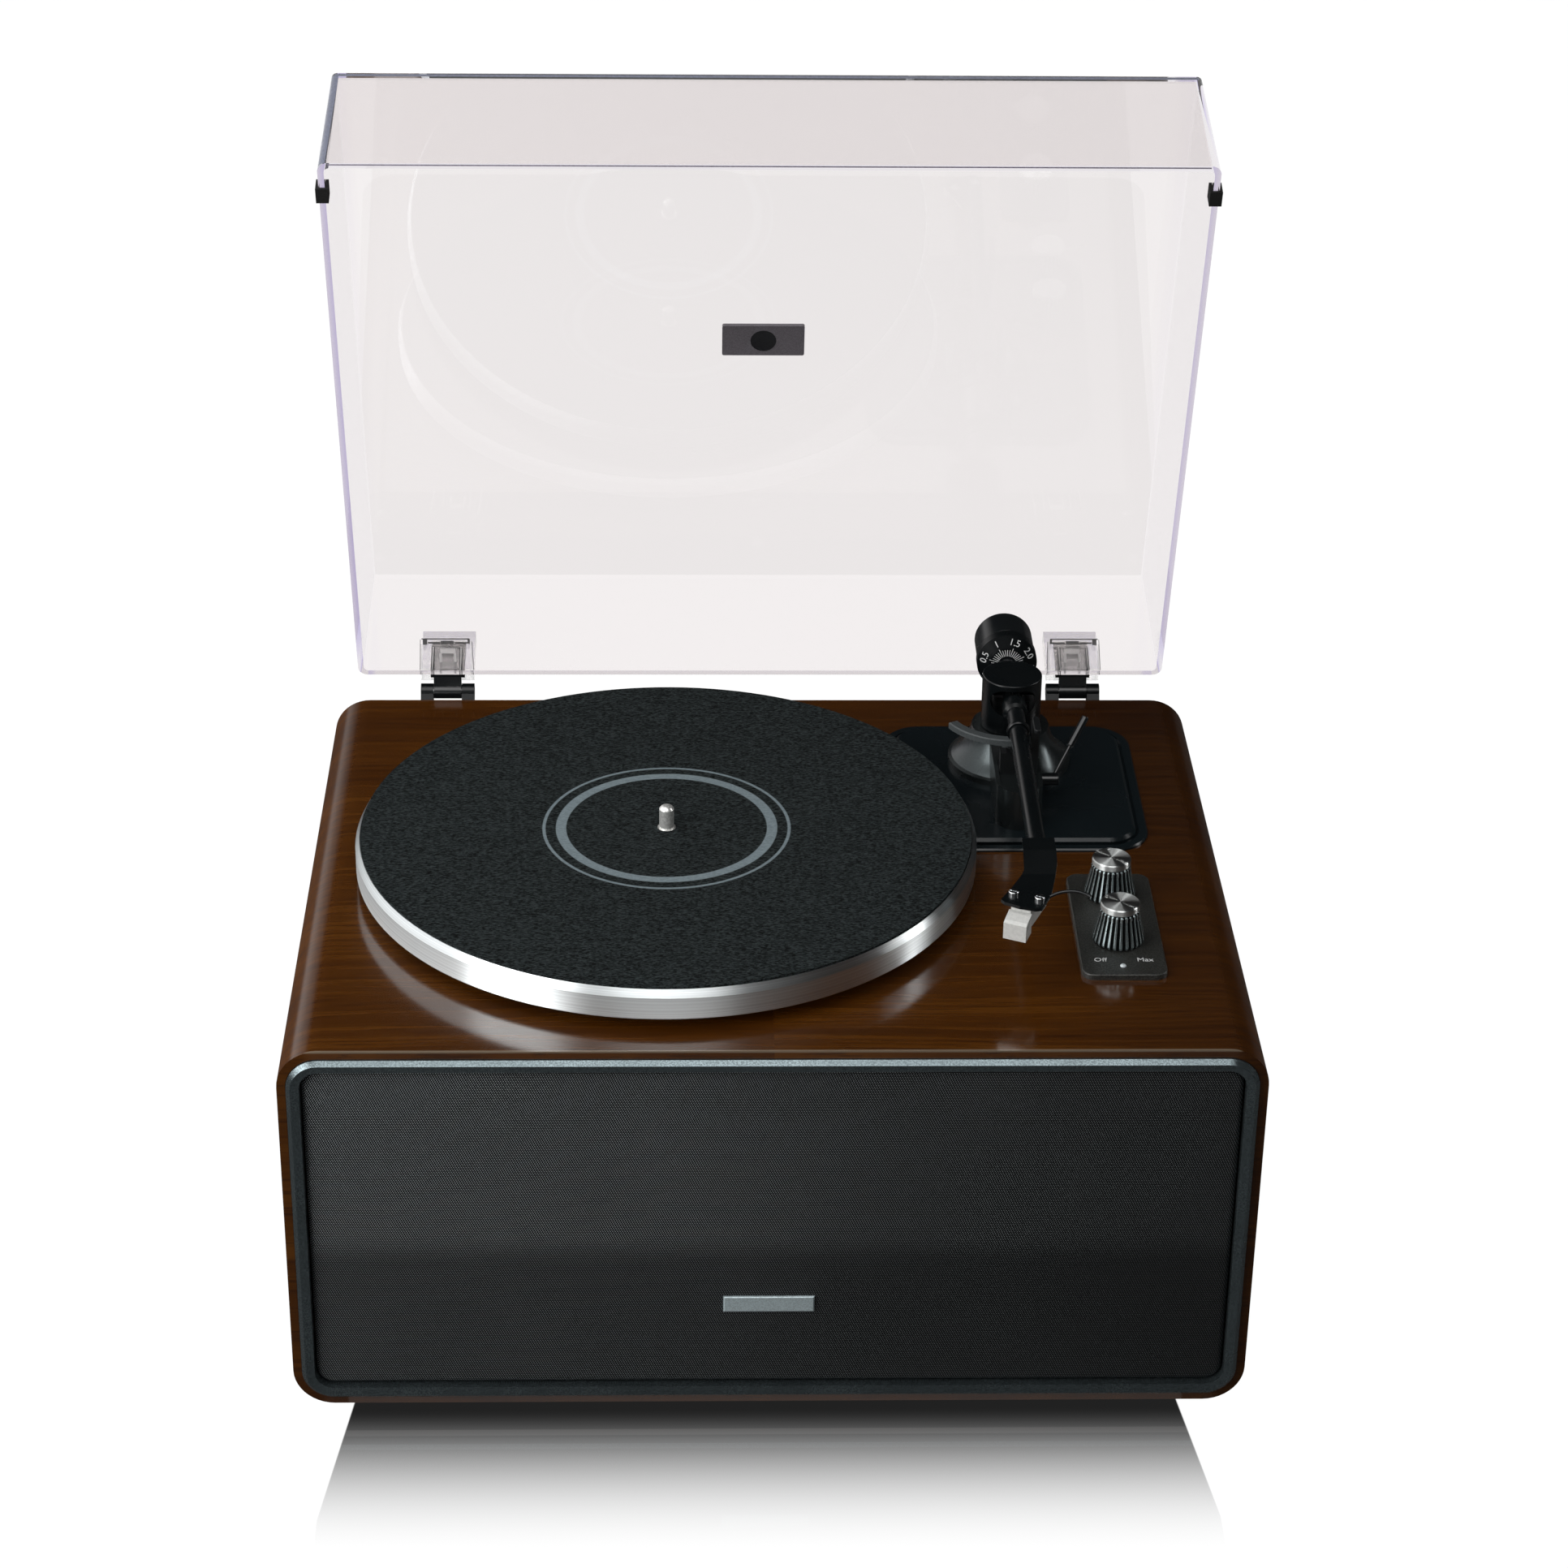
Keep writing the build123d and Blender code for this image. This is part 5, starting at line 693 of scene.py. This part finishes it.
socketHighlights = {
    "leftSide": ((24.0, -12.4, -11.3), (2.2, -13.9, -12.7)),
    "rightSide": ((22.0, 14.2, 15.1), (2.2, 12.6, 13.7)),
    "leftRib": ((19.2, -7.1, -6.4), (2.2, -7.3, -6.8)),
    "rightRib": ((19.6, 7.6, 8.3), (2.2, 7.6, 8.1)),
    "screwPlate": ((18.8, -3.8, 4.3), (14.9, -4.1, 4.0)),
    "leftPost": ((14.9, -4.3, -3.0), (8.2, -4.7, -3.5)),
    "rightPost": ((14.9, 3.3, 4.6), (8.2, 2.9, 4.1)),
}


def socketSheet(name, bars, y, finish):
    outlines = []
    for side in (-1, 1):
        for (high, left, right), (low, lowLeft, lowRight) in bars.values():
            corners = ((left, high), (right, high), (lowRight, low), (lowLeft, low))
            outlines.append([(side * (socket["x"] + x * socket["scale"]), y, z * socket["scale"])
                             for x, z in corners])
    coverSheet(name, outlines, finish)


makeCoverEdges()
makeDisc()
socketSheet("socketDark", socketDark, socket["wall"] - socket["gap"], "lineDark")
socketSheet("socketHighlights", socketHighlights, socket["wall"], "lineHighlight")
print("cover details made")

# a white floor that mirrors the cabinet in front of it: the mirror fades out, and its sides spread a little,
# so the reflection's fade is painted by a mask; under the cabinet the floor is a dim mirror too, which paints
# its shadow
ground = {"half": 6.0, "z": -0.0002, "albedo": 0.06, "mirror": 0.12, "rough": 0.05, "fade": (-0.005, 0.131),
          "power": 1.85, "most": 0.985, "middle": -0.0015, "reach": 0.1970, "spread": 0.125, "widest": 0.2065,
          "behind": 0.330, "backBlur": 0.004, "sideBlur": 0.0004}


def makeFloor():
    shape = bmesh.new()
    bmesh.ops.create_grid(shape, x_segments=1, y_segments=1, size=ground["half"])
    data = bpy.data.meshes.new("floor")
    shape.to_mesh(data)
    shape.free()
    floor = bpy.data.objects.new("floor", data)
    floor.location.z = ground["z"]
    bpy.context.scene.collection.objects.link(floor)
    look = Look("floor")
    x, y, _ = look.axes()
    ahead = frontY - y
    fade = (1.0 - ahead.ramp(*ground["fade"])) ** ground["power"] * ground["most"]
    reach = (ahead * ground["spread"] + ground["reach"]).atMost(ground["widest"])
    outside = ((x - ground["middle"]).size() - reach).ramp(-ground["sideBlur"], ground["sideBlur"])
    # painted shadow: the floor under the whole cabinet is a dim mirror instead of white
    under = ahead.ramp(-ground["behind"] - ground["backBlur"], -ground["behind"])
    seen = (1.0 - look.mirrored()) * (1.0 - look.scattered())
    glow = look.add("ShaderNodeEmission", None, {"Color": (1.0, 1.0, 1.0), "Strength": seen})
    matt = look.add("ShaderNodeBsdfDiffuse", None, {"Color": (ground["albedo"],) * 3})
    pale = look.add("ShaderNodeAddShader", None, {0: glow, 1: matt})
    shine = {"Color": (ground["mirror"],) * 3, "Roughness": ground["rough"]}
    mirror = look.add("ShaderNodeBsdfGlossy", None, shine)
    factor = fade * (1.0 - outside) * under
    look.output(look.add("ShaderNodeMixShader", None, {0: factor, 1: pale, 2: mirror}))
    data.materials.append(look.material)


# the room that metal and varnish mirror: pale areas to the left, in front, overhead and to the right
# each pair is where an area starts and where it has its full strength, or starts to end and has ended
room = {"base": 0.008, "scattered": 0.13,
        "left": {"strength": 1.9, "across": (0.30, 0.62), "up": (-0.05, 0.10)},
        "front": {"strength": 0.40, "across": (0.45, 0.80), "up": (0.25, 0.42)},
        "over": {"strength": 4.5, "high": 0.8, "back": 0.6, "towards": (0.93, 0.975)},
        "right": {"strength": 11.0, "y": 0.13, "side": (0.040, 0.055), "up": (0.05, 0.12), "end": (0.5, 0.7)}}


def makeWorld():
    world = bpy.data.worlds.new("studio")
    bpy.context.scene.world = world
    world.use_nodes = True
    look = Tree(world.node_tree, "Generated")
    x, y, z = look.axes()
    facts = room["left"]
    left = (-x).ramp(*facts["across"]) * z.ramp(*facts["up"]) * facts["strength"]
    facts = room["front"]
    front = (-y).ramp(*facts["across"]) * z.ramp(*facts["up"]) * facts["strength"]
    facts = room["over"]
    over = (z * facts["high"] - y * facts["back"]).ramp(*facts["towards"]) * facts["strength"]
    facts = room["right"]
    right = (x > 0.0) * (1.0 - (y - facts["y"]).size().ramp(*facts["side"]))
    right = right * z.ramp(*facts["up"]) * (1.0 - z.ramp(*facts["end"])) * facts["strength"]
    areas = left.atLeast(front).atLeast(over).atLeast(right) + room["base"]
    mirrored = look.mirrored()
    scattered = look.scattered()
    plain = 1.0 - scattered + scattered * room["scattered"]
    background = look.tree.nodes["Background"]
    look.feed(background.inputs["Color"], (1.0, 1.0, 1.0))
    look.feed(background.inputs["Strength"], mirrored * areas + (1.0 - mirrored) * plain)


# a soft key lamp from the left, a weaker one overhead, and a faint one from the right
lamps = {
    "keyLamp": {"place": (-1.05, -0.80, 0.75), "aim": (0.0, -0.05, 0.20), "size": (0.75, 0.95),
                "power": 13.0},
    "topLamp": {"place": (-0.45, -0.15, 1.75), "aim": (-0.05, -0.05, 0.20), "size": (0.9, 0.7), "power": 6.0},
    "rightLamp": {"place": (1.35, 0.05, 0.62), "aim": (0.1, 0.0, 0.22), "size": (0.22, 0.8), "power": 1.0},
}


def makeLamps():
    for name, facts in lamps.items():
        data = bpy.data.lights.new(name, "AREA")
        data.shape = "RECTANGLE"
        data.size, data.size_y = facts["size"]
        data.energy = facts["power"]
        lamp = bpy.data.objects.new(name, data)
        lamp.location = facts["place"]
        aim = Vector(facts["aim"]) - Vector(facts["place"])
        lamp.rotation_euler = aim.to_track_quat("-Z", "Y").to_euler()
        bpy.context.scene.collection.objects.link(lamp)


makeFloor()
makeWorld()
makeLamps()
bpy.context.scene.view_settings.view_transform = "Standard"
print("stage and lamps made")
